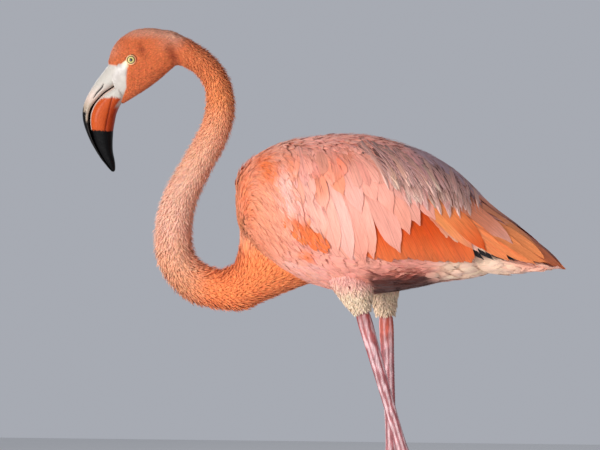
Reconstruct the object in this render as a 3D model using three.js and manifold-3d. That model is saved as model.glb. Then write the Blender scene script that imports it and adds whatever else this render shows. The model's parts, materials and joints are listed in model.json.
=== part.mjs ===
// A still, life-size American flamingo, standing with its neck in an S and its bill held low.
// Millimetres, +Z up. The bird faces -X, its left side is towards -Y, and it stands on z = 0.
// Every solid reaches out to the tips of the coat, and neighbours part with thin cuts.
import * as THREE from "three";
import { mergeVertices } from "three/addons/utils/BufferGeometryUtils.js";
import Module from "manifold-3d";

const wasm = await Module();
wasm.setup();

// ---- sizes ---------------------------------------------------------------------------------

const CUT = 0.3; // gap between neighbouring solids
const EYE = { x: -236.5, z: 811.3, radius: 7.5, standsOut: 2.6 };
const LEG_APART = 40; // each leg's distance from the bird's middle plane
// Front toes: length, half width, and degrees outwards from straight ahead.
const TOES = {
  inner: { length: 66, half: 4.4, spread: -27 },
  middle: { length: 84, half: 5, spread: 2 },
  outer: { length: 74, half: 4.4, spread: 31 },
};
const TOE_DEEP = 4.2; // half depth of a front toe
// Shares by which a toe narrows to its end, swells at its knuckles, rounds off, and stands clear.
const TOE_SHAPE = { joints: 5, around: 8, narrows: 0.42, knuckle: 0.1, rounded: 0.8, lift: 0.8 };
const HIND_TOE = { length: 15, half: 3, from: 6, height: 10, droop: 12, spread: 12 };
// Heel pad: x, top, bottom, half width.
const HEEL = [
  [-9, 9, 0, 6.5],
  [-4, 14, 0, 8.5],
  [3, 16, 0, 8.5],
  [9, 12, 0, 6],
];
const CLAW = { length: 9, wide: 2.4, deep: 1.7, rise: 2.2 };
const WEB = { thick: 1.8, along: 0.93, bay: 0.66 }; // its corners and its bay, as shares of the toes
const PROUD = 1.2; // how far the coverts and every second tertial stand above the other feathers

// Trunk without the wings: x, top, bottom, half width.
const TRUNK = [
  [-107.5, 645, 628, 12],
  [-103, 673, 604, 40],
  [-90, 689, 584, 59],
  [-62, 705, 558, 75],
  [-19, 716, 540, 86],
  [35, 720, 528, 90],
  [73, 713.5, 528.5, 86],
  [110, 697, 535, 76],
  [147, 669, 543, 58],
  [178, 634, 547, 43],
  [197, 596, 554, 24],
];
// Inner face of the wings behind the rump, which leaves room over the tail.
const UNDER_TERTIALS = [
  [170, 640, 540, 44],
  [197, 627, 530, 41],
  [227, 604, 530, 32],
  [252, 588, 530, 23],
  [277, 570, 530, 12],
  [294, 556, 530, 2],
];
// Outer face of the folded wings: x, top, bottom, half width.
const WINGS = [
  [-96, 683, 593, 50],
  [-80, 698, 573, 72],
  [-44, 714, 550, 90],
  [0, 720.5, 534, 99],
  [45, 721.5, 527.5, 101],
  [85, 713, 530, 97.5],
  [123, 699, 538.5, 88],
  [160, 677, 545, 73],
  [203, 636, 549, 55],
  [240, 609, 553, 40],
  [277, 580, 556, 22],
  [299, 558, 556, 3],
];
const WIDEST_AT = 0.52; // height of the trunk's widest line, as a share of the section
const PAST = 120; // farther from the middle plane than any part of the bird
const TAIL = [
  [198.5, 594, 553, 36],
  [227, 581, 551.5, 31],
  [252, 571, 554.5, 25],
  [277, 563, 558.5, 17],
];

// Base of the neck where it leaves the breast: top x and z, bottom x and z, half width.
const NECK_BASE = [
  [-98, 625, -12, 542, 46],
  [-103.5, 598, -33, 534, 42],
  [-106.5, 578, -56, 525, 36],
  [-110, 563.5, -79, 515.5, 31],
  [-118.5, 557, -106, 505.5, 26.5],
];
// Sweep from there to the head: x, z, half depth, half width.
const NECK = [
  [-142, 532.5, 23.5, 20.5],
  [-166, 543.5, 22.8, 20],
  [-184, 567, 22, 19.5],
  [-188, 600, 21.5, 19.5],
  [-180, 640, 20, 18.5],
  [-159, 681.5, 17.8, 16.8],
  [-138, 720, 17.2, 16.2],
  [-129.5, 752, 16.5, 15.5],
  [-134, 783, 15, 14.5],
  [-152, 807.5, 14.8, 14.3],
  [-181, 823.3, 19, 16],
  [-191, 824, 17, 14],
];
// The neck is parted after these rows.
const NECK_PARTS = {
  neck_lower: [0, 3],
  neck_middle: [3, 6],
  neck_upper: [6, 8],
  neck_nape: [8, 11],
};
// Head, from the nape to the edge of the bill: crown x and z, throat x and z, half width.
const HEAD = [
  [-182.5, 843, -181.5, 804.8, 16.5],
  [-200, 847, -191.5, 799, 18.5],
  [-219, 849, -206, 786.5, 20.5],
  [-237, 846, -222, 775, 21],
  [-253, 836.5, -235, 766.8, 20],
  [-262.5, 824, -243, 762, 18.2],
  [-268, 806, -250.5, 757.5, 16.3],
];
// Bill: culmen x and z, chin x and z, mouth line as a share of the way, half widths above and below.
const BILL = [
  [-263, 811, -246, 763, 0.55, 16, 16],
  [-267.5, 804.5, -252.5, 757, 0.54, 15.5, 16],
  [-285, 781.5, -258, 746, 0.38, 12.5, 15.5],
  [-297.5, 758.5, -260.3, 736, 0.28, 11.5, 15.5],
  [-299.5, 738, -262.7, 720, 0.25, 11.3, 14.5],
  [-291.5, 714, -263, 700.5, 0.23, 8.8, 11],
  [-279, 692, -260.3, 685.5, 0.24, 6, 7.5],
  [-268, 678, -260, 676, 0.38, 3.6, 4],
  [-264, 674, -261.8, 673.6, 0.45, 1.6, 1.6],
];
const MOUTH_GAP = 0.7;

// Each leg from the belly down: x, z, half depth, half width.
const LEGS = {
  left: {
    thigh: [
      [32, 566, 34, 24],
      [40, 540, 25, 20],
      [45.5, 523, 18.5, 16],
      [49.5, 510, 12, 11],
      [52, 501, 8.6, 7.6],
    ],
    ankle: [105, 321],
    foot: [80, 15],
    turn: 6,
  },
  right: {
    thigh: [
      [64, 566, 30, 24],
      [66, 540, 22, 20],
      [67.5, 516, 15.5, 14.5],
      [68.5, 502, 12.5, 11.5],
      [69.5, 490, 8.6, 7.6],
    ],
    ankle: [77, 316],
    foot: [60, 15],
    turn: -4,
  },
};
// Half sizes of the bare leg. The swollen ankle reaches up and down the leg from its middle.
const SHANK = { depth: 7.6, width: 5.4 };
const LOW_SHANK = { depth: 6.9, width: 5.4 };
const ANKLE = { depth: 11.5, width: 9.2, reach: 19 };
const TARSUS = { depth: 6.6, width: 4.7 };
const LOW_TARSUS = { depth: 5.8, width: 4.7 };

// ---- making solids -------------------------------------------------------------------------

// A point on a rounded section: angle 0 is its top, and power 2 makes an ellipse.
function onSection(angle, rise, drop, half, power = 2) {
  const c = Math.cos(angle);
  const s = Math.sin(angle);
  const round = (v) => Math.sign(v) * Math.abs(v) ** (2 / power);
  return [round(s) * half, round(c) * (c > 0 ? rise : drop)];
}

// Joins rings of equal count into one closed surface, with a fan over each end.
function skinOver(rings) {
  const around = rings[0].length;
  const points = rings.flat();
  const faces = [];
  for (let i = 0; i + 1 < rings.length; i++) {
    for (let j = 0; j < around; j++) {
      const a = i * around + j;
      const b = i * around + ((j + 1) % around);
      faces.push(a, b, a + around, b, b + around, a + around);
    }
  }
  for (const [ring, flip] of [[0, true], [rings.length - 1, false]]) {
    const centre = rings[ring].reduce((sum, p) => sum.add(p), new THREE.Vector3());
    points.push(centre.divideScalar(around));
    for (let j = 0; j < around; j++) {
      const a = ring * around + j;
      const b = ring * around + ((j + 1) % around);
      faces.push(...(flip ? [points.length - 1, b, a] : [points.length - 1, a, b]));
    }
  }
  return solid(new THREE.BufferGeometry().setFromPoints(points).setIndex(faces));
}

// A closed geometry as a manifold-3d solid, turned to face outwards.
function solid(geometry) {
  geometry.deleteAttribute("normal");
  geometry.deleteAttribute("uv");
  const merged = mergeVertices(geometry, 1e-4);
  const triVerts = new Uint32Array(merged.index.array);
  const build = () =>
    new wasm.Manifold(
      new wasm.Mesh({
        numProp: 3,
        vertProperties: merged.attributes.position.array,
        triVerts,
      }),
    );
  const made = build();
  if (made.volume() > 0) return made;
  for (let i = 0; i < triVerts.length; i += 3) {
    [triVerts[i + 1], triVerts[i + 2]] = [triVerts[i + 2], triVerts[i + 1]];
  }
  return build();
}

// Rows of numbers read at any place between them, on a smooth curve through each column.
function smoothRows(rows, steps) {
  const curves = rows[0].map((_, column) =>
    new THREE.SplineCurve(rows.map((row, i) => new THREE.Vector2(i, row[column]))),
  );
  return Array.from({ length: steps + 1 }, (_, k) => curves.map((curve) => curve.getPoint(k / steps).y));
}

// One section ring between a top and a bottom point, widest at the waist, a share of its height.
function ring([topX, topZ, bottomX, bottomZ, half], { around, grow = 0, power = 2, waist = 0.5, y = 0 }) {
  const bottom = new THREE.Vector2(bottomX, bottomZ);
  const upright = new THREE.Vector2(topX, topZ).sub(bottom);
  const height = upright.length();
  upright.normalize();
  const rise = height * (1 - waist) + grow;
  const drop = height * waist + grow;
  return Array.from({ length: around }, (_, j) => {
    const [side, up] = onSection((j / around) * 2 * Math.PI, rise, drop, half + grow, power);
    const at = height * waist + up;
    return new THREE.Vector3(bottom.x + upright.x * at, y + side, bottom.y + upright.y * at);
  });
}

// A closed solid through section rows. Its two ends stand back by half a cut, or reach out by grow.
function loft(rows, look) {
  const rings = rows.map((row) => ring(row, look));
  const reach = (look.grow ?? 0) - CUT / 2;
  for (const [end, next] of [[0, 1], [rows.length - 1, rows.length - 2]]) {
    const [topX, topZ, bottomX, bottomZ] = rows[end];
    const outwards = new THREE.Vector3(topZ - bottomZ, 0, bottomX - topX).normalize();
    const inwards = new THREE.Vector3(rows[next][0] - topX, 0, rows[next][1] - topZ);
    if (outwards.dot(inwards) > 0) outwards.negate();
    for (const point of rings[end]) point.addScaledVector(outwards, reach);
  }
  return skinOver(rings);
}

// Upright sections at each x, as the trunk has: x, top, bottom, half width.
function hull(rows, { steps, ...look }) {
  const upright = smoothRows(rows, steps).map(([x, top, bottom, half]) => [x, top, x, bottom, half]);
  return loft(upright, { power: 2.15, waist: WIDEST_AT, ...look });
}

// Sections square to a path in the upright plane: x, z, half depth, half width.
function squareTo(rows, { steps, from = 0, to = 1 }) {
  const FINER = 8;
  const fine = smoothRows(rows, steps * FINER);
  const first = Math.round(from * steps * FINER);
  const last = Math.round(to * steps * FINER);
  const count = Math.max(2, Math.round((to - from) * steps));
  return Array.from({ length: count + 1 }, (_, k) => {
    const i = Math.round(first + ((last - first) * k) / count);
    const [x, z, depth, half] = fine[i];
    const before = fine[Math.max(i - 1, 0)];
    const after = fine[Math.min(i + 1, fine.length - 1)];
    const along = new THREE.Vector2(after[0] - before[0], after[1] - before[1]).normalize();
    return [x + along.y * depth, z - along.x * depth, x - along.y * depth, z + along.x * depth, half];
  });
}

const sweep = (rows, { steps, ...look }) => loft(squareTo(rows, { steps }), look);

// A side outline of [x, z] points, extruded across the bird from one y to another.
function across(outline, nearY, farY) {
  const shape = new THREE.Shape(outline.map(([x, z]) => new THREE.Vector2(x, z)));
  const geometry = new THREE.ExtrudeGeometry(shape, { depth: farY - nearY, bevelEnabled: false });
  geometry.applyMatrix4(new THREE.Matrix4().makeRotationX(Math.PI / 2));
  geometry.translate(0, farY, 0);
  return solid(geometry);
}

const flamingo = new THREE.Group();

function add(name, made, { color, roughness = 0.8 }) {
  const { vertProperties, triVerts, numProp } = made.getMesh();
  const places = new Float32Array((vertProperties.length / numProp) * 3);
  for (let i = 0; i < places.length / 3; i++) {
    places.set(vertProperties.subarray(i * numProp, i * numProp + 3), i * 3);
  }
  const geometry = new THREE.BufferGeometry()
    .setAttribute("position", new THREE.BufferAttribute(places, 3))
    .setIndex(new THREE.BufferAttribute(new Uint32Array(triVerts), 1));
  geometry.computeVertexNormals();
  const mesh = new THREE.Mesh(geometry, new THREE.MeshStandardMaterial({ color, roughness, metalness: 0 }));
  mesh.name = name;
  flamingo.add(mesh);
}

const CORAL = { color: 0xf28a62 };
const PALE_CORAL = { color: 0xf3a98c };
const PINK = { color: 0xf4b0a2 };
const CREAM = { color: 0xeccbb4 };
const LEG_PINK = { color: 0xd98f95, roughness: 0.5 };
const BILL_WHITE = { color: 0xf0e6de, roughness: 0.35 };
const BILL_BLACK = { color: 0x15130f, roughness: 0.3 };
const EYE_YELLOW = { color: 0xe6de8c, roughness: 0.1 };

// ---- trunk, tail and wings -----------------------------------------------------------------

const WING_GRAIN = { steps: 13, around: 20 };
const BODY_GRAIN = { steps: 18, around: 22 };
const TAIL_GRAIN = { steps: 4, around: 16, power: 2.4 };
const trunkSolid = hull(TRUNK, BODY_GRAIN);
const aroundTrunk = hull(TRUNK, { ...BODY_GRAIN, grow: CUT });
const tailWhole = hull(TAIL, TAIL_GRAIN);
const aroundTail = hull(TAIL, { ...TAIL_GRAIN, grow: CUT });

// Tips of the tail feathers: a fan of round-ended blades seen from above, and a block at its root.
const FAN = { leans: [-0.36, -0.2, -0.06, 0.06, 0.2, 0.36], x: 231, length: 96, width: 15, rootEnds: 236 };
function tailFan() {
  const [low, high] = [TAIL[0][2] - 20, TAIL[0][1] + 20];
  const blades = FAN.leans.map((lean) => {
    const outline = new THREE.Shape().absellipse(0, 0, FAN.length / 2, FAN.width / 2, 0, 2 * Math.PI);
    const geometry = new THREE.ExtrudeGeometry(outline, {
      depth: high - low,
      bevelEnabled: false,
      curveSegments: 5,
    });
    geometry.rotateZ(lean);
    geometry.translate(FAN.x, (FAN.length / 2) * Math.sin(lean), low);
    return solid(geometry);
  });
  const start = TAIL[0][0] - 1;
  const root = across([[start, low], [FAN.rootEnds, low], [FAN.rootEnds, high], [start, high]], -PAST, PAST);
  return blades.reduce((sum, made) => sum.add(made), root);
}

// A lance-shaped feather blade seen from the side, from root to tip, bent by a share of its length.
function blade([rootX, rootZ], [tipX, tipZ], half, bend = 0.04) {
  const along = new THREE.Vector2(tipX - rootX, tipZ - rootZ);
  const out = new THREE.Vector2(-along.y, along.x).normalize();
  const place = (share, width) => [
    rootX + along.x * share + out.x * (width + bend * along.length() * Math.sin(share * Math.PI)),
    rootZ + along.y * share + out.y * (width + bend * along.length() * Math.sin(share * Math.PI)),
  ];
  const widths = [[0, 0.7], [0.5, 1], [0.85, 0.75]]; // share of the length, share of the half width
  return [
    ...widths.map(([share, width]) => place(share, width * half)),
    place(1, 0),
    ...widths.reverse().map(([share, width]) => place(share, -width * half)),
  ];
}

// The shell that a folded wing fills, on one side (-1 left, 1 right), grown outwards by grow.
const inside = aroundTrunk.add(aroundTail).add(hull(UNDER_TERTIALS, { steps: 4, around: 16 }));
function wingShell(side, grow) {
  const outer = hull(WINGS, { ...WING_GRAIN, grow });
  const [near, far] = side < 0 ? [-PAST, -CUT / 2] : [CUT / 2, PAST];
  const ends = [WINGS[0][0] - PAST, WINGS[WINGS.length - 1][0] + PAST];
  const half = across([[ends[0], 0], [ends[1], 0], [ends[1], 900], [ends[0], 900]], near, far);
  return outer.subtract(inside).intersect(half);
}

// Outlines from the side, over which the shell is kept. The upper edge runs along the mantle.
const WING_OUTLINE = [
  [-90, 648],
  [-80, 671],
  [-60, 685],
  [40, 708],
  [75, 732],
  [180, 700],
  [282, 588],
  [270, 571],
  [150, 576],
  [30, 578],
  [-15, 590],
  [-76, 625],
];
const COVERTS = [
  [-86, 652],
  [-70, 676],
  [-30, 690],
  [20, 699],
  [44, 676],
  [36, 652],
  [44, 628],
  [16, 616],
  [-16, 612],
  [-50, 618],
];
// Rows of large feathers: the secondaries along the lower edge, and the tertials over the tail.
const SECONDARIES = { count: 8, roots: [[-2, 640], [112, 640]], tips: [[8, 574], [160, 567]], half: 13 };
const TERTIALS = { count: 6, roots: [[60, 690], [176, 650]], tips: [[186, 573], [298.5, 556.5]], half: 14.5 };

function featherRow({ count, roots, tips, half }) {
  const between = ([first, last], share) => first.map((v, k) => v + (last[k] - v) * share);
  return Array.from({ length: count }, (_, i) => {
    const share = i / (count - 1);
    return across(blade(between(roots, share), between(tips, share), half), -PAST, PAST);
  });
}

for (const [name, side] of [["wing_left", -1], ["wing_right", 1]]) {
  const all = (list) => list.reduce((sum, made) => sum.add(made));
  const tertials = featherRow(TERTIALS);
  const flat = all([across(WING_OUTLINE, -PAST, PAST), ...featherRow(SECONDARIES), ...tertials]);
  const raised = all([across(COVERTS, -PAST, PAST), ...tertials.filter((_, i) => i % 2 === 1)]);
  const made = wingShell(side, 0).intersect(flat).add(wingShell(side, PROUD).intersect(raised));
  add(name, biggest(made), PINK);
}

// The largest body of a solid, without the slivers that a cut can leave beside it.
function biggest(made) {
  return made.decompose().reduce((best, body) => (body.volume() > best.volume() ? body : best));
}

add("trunk", trunkSolid, PALE_CORAL);
add("tail", biggest(tailWhole.intersect(tailFan())), CREAM);

// ---- neck, head, eyes and bill -------------------------------------------------------------

const aroundWings = hull(WINGS, { ...WING_GRAIN, grow: PROUD + CUT });
const HEAD_GRAIN = { around: 20, power: 2.1 };
const headRows = smoothRows(HEAD, 10);
const headWhole = loft(headRows, HEAD_GRAIN);
const aroundHead = loft(headRows, { ...HEAD_GRAIN, grow: CUT });
const NECK_GRAIN = { around: 14 };
const neckSections = (first, last) => {
  const end = NECK.length - 1;
  return squareTo(NECK, { steps: end * 2, from: first / end, to: last / end });
};
const besideNeck = aroundTrunk.add(aroundWings).add(aroundHead);
const baseRows = smoothRows([...NECK_BASE, neckSections(0, 1)[0]], 6);
add("neck_base", biggest(loft(baseRows, NECK_GRAIN).subtract(besideNeck)), PALE_CORAL);
for (const [name, [first, last]] of Object.entries(NECK_PARTS)) {
  const length = loft(neckSections(first, last), NECK_GRAIN);
  add(name, biggest(length.subtract(besideNeck)), PALE_CORAL);
}

const eyeY = headHalfWidthAt(EYE.x, EYE.z) - EYE.radius + EYE.standsOut;

// Half the width of the head over a point of its side view.
function headHalfWidthAt(x, z) {
  const probe = wasm.Manifold.cube([1, PAST, 1]).translate([x - 0.5, 0, z - 0.5]);
  return headWhole.intersect(probe).boundingBox().max[1];
}

function ball(radius, y) {
  const geometry = new THREE.SphereGeometry(radius, 12, 8);
  return solid(geometry.translate(EYE.x, y, EYE.z));
}

let headSolid = headWhole;
for (const side of [-1, 1]) headSolid = headSolid.subtract(ball(EYE.radius + CUT, side * eyeY));
add("head", headSolid, CORAL);
add("eye_left", ball(EYE.radius, -eyeY), EYE_YELLOW);
add("eye_right", ball(EYE.radius, eyeY), EYE_YELLOW);

// One jaw, between the culmen or the chin line and the mouth line. Each is widest near the mouth.
function jaw(isUpper) {
  const rows = smoothRows(BILL, 12).map(([topX, topZ, chinX, chinZ, share, upperHalf, lowerHalf]) => {
    const top = new THREE.Vector2(topX, topZ);
    const chin = new THREE.Vector2(chinX, chinZ);
    const gap = MOUTH_GAP / 2 / top.distanceTo(chin);
    const start = top.clone().lerp(chin, isUpper ? 0 : share + gap);
    const end = top.clone().lerp(chin, isUpper ? share - gap : 1);
    return [start.x, start.y, end.x, end.y, isUpper ? upperHalf : lowerHalf];
  });
  return loft(rows, { around: 10, power: 2.3, waist: isUpper ? 0.3 : 0.62 });
}
add("bill_upper", biggest(jaw(true).subtract(aroundHead)), BILL_WHITE);
add("bill_lower", biggest(jaw(false).subtract(aroundHead)), BILL_BLACK);

// ---- legs and feet -------------------------------------------------------------------------

const LEG_GRAIN = { steps: 5, around: 10 };

// Rows of a leg's three bare lengths, each ending where the next one starts.
function legRows({ thigh, ankle, foot }) {
  const [topX, topZ] = thigh[thigh.length - 1];
  const knee = new THREE.Vector2(topX, topZ);
  const heel = new THREE.Vector2(...ankle);
  const sole = new THREE.Vector2(...foot);
  const shankEnds = 1 - ANKLE.reach / knee.distanceTo(heel);
  const tarsusStarts = ANKLE.reach / heel.distanceTo(sole);
  const row = (from, to, share, { depth, width }, thicker = 0) => {
    const at = from.clone().lerp(to, share);
    return [at.x, at.y, depth + thicker, width + thicker];
  };
  const swollen = (share) => ({ depth: ANKLE.depth * share, width: ANKLE.width * share });
  const shankTail = row(knee, heel, shankEnds, LOW_SHANK, 0.8);
  const tarsusHead = row(heel, sole, tarsusStarts, TARSUS, 0.6);
  return {
    shank: [
      row(knee, heel, 0, SHANK, 0.7),
      row(knee, heel, shankEnds * 0.35, SHANK),
      row(knee, heel, shankEnds * 0.7, LOW_SHANK),
      shankTail,
    ],
    ankle: [
      shankTail,
      row(knee, heel, (1 + shankEnds) / 2, swollen(0.9)),
      row(heel, sole, 0, swollen(1)),
      row(heel, sole, tarsusStarts / 2, swollen(0.85)),
      tarsusHead,
    ],
    tarsus: [
      tarsusHead,
      row(heel, sole, 0.35, TARSUS),
      row(heel, sole, 0.7, LOW_TARSUS),
      row(heel, sole, 0.93, LOW_TARSUS, 0.6),
      row(heel, sole, 0.985, LOW_TARSUS, 2),
    ],
  };
}

// A toe: a tapering bar with knuckles, flat underneath. It runs along +X from the foot's middle.
function toe(length, wide, high) {
  const { joints, around, narrows, knuckle, rounded, lift } = TOE_SHAPE;
  const rings = Array.from({ length: joints + 1 }, (_, i) => {
    const share = i / joints;
    const swell = 1 + knuckle * Math.cos(i * Math.PI);
    const taper = (1 - narrows * share) * swell * (i === joints ? rounded : 1);
    const deep = high * taper;
    return Array.from({ length: around }, (_, j) => {
      const [side, up] = onSection((j / around) * 2 * Math.PI, deep, deep, wide * taper, 2.4);
      return new THREE.Vector3(share * length, side, Math.max(0, up + deep * lift));
    });
  });
  return skinOver(rings);
}

// A blunt, slightly hooked claw that starts just beyond a toe's end.
function claw(start) {
  const rings = Array.from({ length: 5 }, (_, i) => {
    const share = i / 4;
    const taper = Math.sqrt(1 - 0.97 * share ** 2);
    const rise = CLAW.rise * (1 - share ** 2);
    const deep = CLAW.deep * taper;
    return Array.from({ length: 6 }, (_, j) => {
      const [side, up] = onSection((j / 6) * 2 * Math.PI, deep, deep, CLAW.wide * taper);
      return new THREE.Vector3(start + CUT + share * CLAW.length, side, Math.max(0, rise + up));
    });
  });
  return skinOver(rings);
}

// The web between two toes: its free edge curves back towards the foot.
function web(toeA, toeB) {
  const at = (degrees, length) =>
    new THREE.Vector2(length, 0).rotateAround(new THREE.Vector2(), THREE.MathUtils.degToRad(degrees));
  const a = at(toeA.angle, toeA.length * WEB.along);
  const b = at(toeB.angle, toeB.length * WEB.along);
  const bay = at((toeA.angle + toeB.angle) / 2, ((toeA.length + toeB.length) / 2) * WEB.bay);
  const shape = new THREE.Shape();
  shape.moveTo(0, 0);
  shape.lineTo(a.x, a.y);
  shape.quadraticCurveTo(bay.x, bay.y, b.x, b.y);
  shape.closePath();
  const look = { depth: WEB.thick, bevelEnabled: false, curveSegments: 6 };
  return solid(new THREE.ExtrudeGeometry(shape, look));
}

// A foot about its own middle at [0, 0, 0]: heel pad, hind toe, three front toes and two webs.
function wholeFoot(toes, hindAngle) {
  let foot = hull(HEEL, { steps: 4, around: 10 });
  const hind = toe(HIND_TOE.length, HIND_TOE.half, HIND_TOE.half).rotate([0, HIND_TOE.droop, 0]);
  foot = foot.add(hind.translate([HIND_TOE.from, 0, HIND_TOE.height]).rotate([0, 0, hindAngle]));
  for (const { angle, length, half } of toes) {
    foot = foot.add(toe(length, half, TOE_DEEP).rotate([0, 0, angle]));
  }
  for (const pair of [toes.slice(0, 2), toes.slice(1)]) foot = foot.add(web(...pair));
  return foot;
}

for (const [sideName, side] of [["left", -1], ["right", 1]]) {
  const leg = LEGS[sideName];
  const y = side * LEG_APART;
  const look = { ...LEG_GRAIN, y };
  const grown = { ...look, grow: CUT };
  const { shank, ankle, tarsus } = legRows(leg);
  const thigh = sweep(leg.thigh, look).subtract(aroundTrunk).subtract(aroundWings);
  add(`thigh_${sideName}`, biggest(thigh), CREAM);
  add(`shank_${sideName}`, biggest(sweep(shank, look).subtract(sweep(leg.thigh, grown))), LEG_PINK);
  add(`ankle_${sideName}`, biggest(sweep(ankle, look).subtract(sweep(shank, grown))), LEG_PINK);
  add(`tarsus_${sideName}`, biggest(sweep(tarsus, look).subtract(sweep(ankle, grown))), LEG_PINK);

  // A turn of 180 degrees sets the toes forward, towards -X.
  const toes = Object.entries(TOES).map(([toeName, { spread, ...sizes }]) => {
    return { ...sizes, toeName, angle: 180 + leg.turn - side * spread };
  });
  const there = [leg.foot[0], y, 0];
  const foot = wholeFoot(toes, leg.turn - side * HIND_TOE.spread).translate(there);
  add(`foot_${sideName}`, biggest(foot.subtract(sweep(tarsus, grown))), LEG_PINK);
  for (const { toeName, length, angle } of toes) {
    add(`claw_${sideName}_${toeName}`, claw(length).rotate([0, 0, angle]).translate(there), BILL_BLACK);
  }
}

export default flamingo;
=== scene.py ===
import json

import bpy
import numpy as np
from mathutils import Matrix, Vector

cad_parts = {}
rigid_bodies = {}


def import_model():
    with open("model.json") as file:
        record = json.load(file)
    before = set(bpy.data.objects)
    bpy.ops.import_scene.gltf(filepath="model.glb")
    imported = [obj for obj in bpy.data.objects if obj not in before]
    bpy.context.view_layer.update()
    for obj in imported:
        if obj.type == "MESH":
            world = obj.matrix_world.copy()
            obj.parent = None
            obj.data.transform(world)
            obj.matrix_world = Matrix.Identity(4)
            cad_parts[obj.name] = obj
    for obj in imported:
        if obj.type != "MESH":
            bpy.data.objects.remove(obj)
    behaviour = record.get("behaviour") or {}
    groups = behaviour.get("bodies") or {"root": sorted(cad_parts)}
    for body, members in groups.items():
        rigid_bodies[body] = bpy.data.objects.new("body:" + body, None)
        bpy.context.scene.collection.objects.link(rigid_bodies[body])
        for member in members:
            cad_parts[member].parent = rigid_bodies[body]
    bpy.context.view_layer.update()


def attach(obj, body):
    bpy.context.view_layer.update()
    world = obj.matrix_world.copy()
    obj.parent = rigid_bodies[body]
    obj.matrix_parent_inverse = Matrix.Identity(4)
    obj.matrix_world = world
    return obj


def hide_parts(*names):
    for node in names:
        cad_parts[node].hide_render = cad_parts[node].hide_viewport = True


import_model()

# ---- camera --------------------------------------------------------------------------------
# A long lens eight metres away, almost square to the bird's left side and looking a little down.
# Every size from here on is in mm, in the frame of the part, and MM turns it into metres.

MM = 0.001
LOOK_AT = Vector((-31.4, 0, 610))
CAMERA_TURN, CAMERA_RISE = np.radians(8), np.radians(3)
CAMERA_AWAY = 8000
LENS, SENSOR, FAR_CLIP = 393.4, 36, 100


def add_piece(name, data):
    """Links a new object with its mesh, lamp or camera into the scene."""
    piece = bpy.data.objects.new(name, data)
    bpy.context.scene.collection.objects.link(piece)
    return piece


def aim(piece, place, way):
    """Sets a camera or a lamp down at its place, looking along the way."""
    piece.location = place * MM
    piece.rotation_mode = "QUATERNION"
    piece.rotation_quaternion = way.to_track_quat("-Z", "Y")


SIDES = (("left", -1), ("right", 1))

camera = add_piece("camera", bpy.data.cameras.new("camera"))
bpy.context.scene.camera = camera
camera.data.lens, camera.data.sensor_width, camera.data.clip_end = LENS, SENSOR, FAR_CLIP
level = np.cos(CAMERA_RISE)
backwards = Vector((np.sin(CAMERA_TURN) * level, -np.cos(CAMERA_TURN) * level, np.sin(CAMERA_RISE)))
aim(camera, LOOK_AT + backwards * CAMERA_AWAY, -backwards)

# ---- forms of the body ---------------------------------------------------------------------
# The trunk, neck, head, folded wings, tail and legs are all tubes with rounded sections.
# Each row is one section: its top x and z, its bottom x and z, and half its width, in mm.
# The rows give the outside of the coat, and the skin lies inside them by the coat's depth.


def smooth_rows(rows, s):
    """Reads every column at place s, on a smooth curve through the rows, straight beyond its ends."""
    rows = np.asarray(rows, float)
    last = len(rows) - 1
    s = np.asarray(s, float)
    inside = np.clip(s, 0, last)
    i = np.minimum(inside.astype(int), last - 1)
    f = (inside - i)[..., None]
    before, start = rows[np.maximum(i - 1, 0)], rows[i]
    end, after = rows[i + 1], rows[np.minimum(i + 2, last)]
    rise, fall = (end - before) / 2, (after - start) / 2
    cubic = (2 * (start - end) + rise + fall) * f**3
    curve = cubic + (3 * (end - start) - 2 * rise - fall) * f**2 + rise * f + start
    slope = np.where(s[..., None] > last / 2, rows[-1] - rows[-2], rows[1] - rows[0])
    return curve + (s - inside)[..., None] * slope


LEAST_HALF = 0.3


def signed_power(value, power):
    """The size of a value to a power, with the value's sign."""
    return np.sign(value) * np.abs(value) ** power


def tube(rows, power=2.0, waist=0.5, y=0.0):
    """A surface of two parameters: place s along the rows, and angle t round the section from its
    top, towards +y. A section is a super-ellipse of that power, widest at the waist's height."""

    def surface(s, t):
        s, t = np.broadcast_arrays(np.asarray(s, float), np.asarray(t, float))
        top_x, top_z, low_x, low_z, half = np.moveaxis(smooth_rows(rows, s), -1, 0)
        c = np.cos(t)
        up = signed_power(c, 2 / power) * np.where(c > 0, 1 - waist, waist)
        side = signed_power(np.sin(t), 2 / power) * np.maximum(half, LEAST_HALF)
        share = waist + up
        x = low_x + (top_x - low_x) * share
        z = low_z + (top_z - low_z) * share
        return np.stack([x, y + side, z], -1)

    surface.last = len(rows) - 1
    return surface


def upright(rows):
    """Upright sections (x, top, bottom, half width) written as full section rows."""
    return [[x, top, x, bottom, half] for x, top, bottom, half in rows]


def square_to(rows):
    """Sections square to a path (x, z, half depth, half width) written as full section rows."""
    rows = np.asarray(rows, float)
    ahead = np.vstack([rows[1:], rows[-1:]])[:, :2]
    behind = np.vstack([rows[:1], rows[:-1]])[:, :2]
    along = ahead - behind
    along /= np.linalg.norm(along, axis=1, keepdims=True)
    out = np.stack([along[:, 1], -along[:, 0]], -1) * rows[:, 2:3]
    return np.hstack([rows[:, :2] + out, rows[:, :2] - out, rows[:, 3:]])


def unit(v):
    return v / np.maximum(np.linalg.norm(v, axis=-1, keepdims=True), 1e-9)


def dot(a, b):
    return (a * b).sum(-1, keepdims=True)


def tangents(surface, s, t, reach=0.01):
    """Point, slope along s, slope round t and outward normal, from differences over a small reach."""
    point = surface(s, t)
    along = (surface(s + reach, t) - surface(s - reach, t)) / (2 * reach)
    around = (surface(s, t + reach) - surface(s, t - reach)) / (2 * reach)
    normal = unit(np.cross(along, around))
    outwards = dot(normal, point - surface(s, t + np.pi))
    return point, along, around, normal * np.where(outwards < 0, -1, 1)


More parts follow.
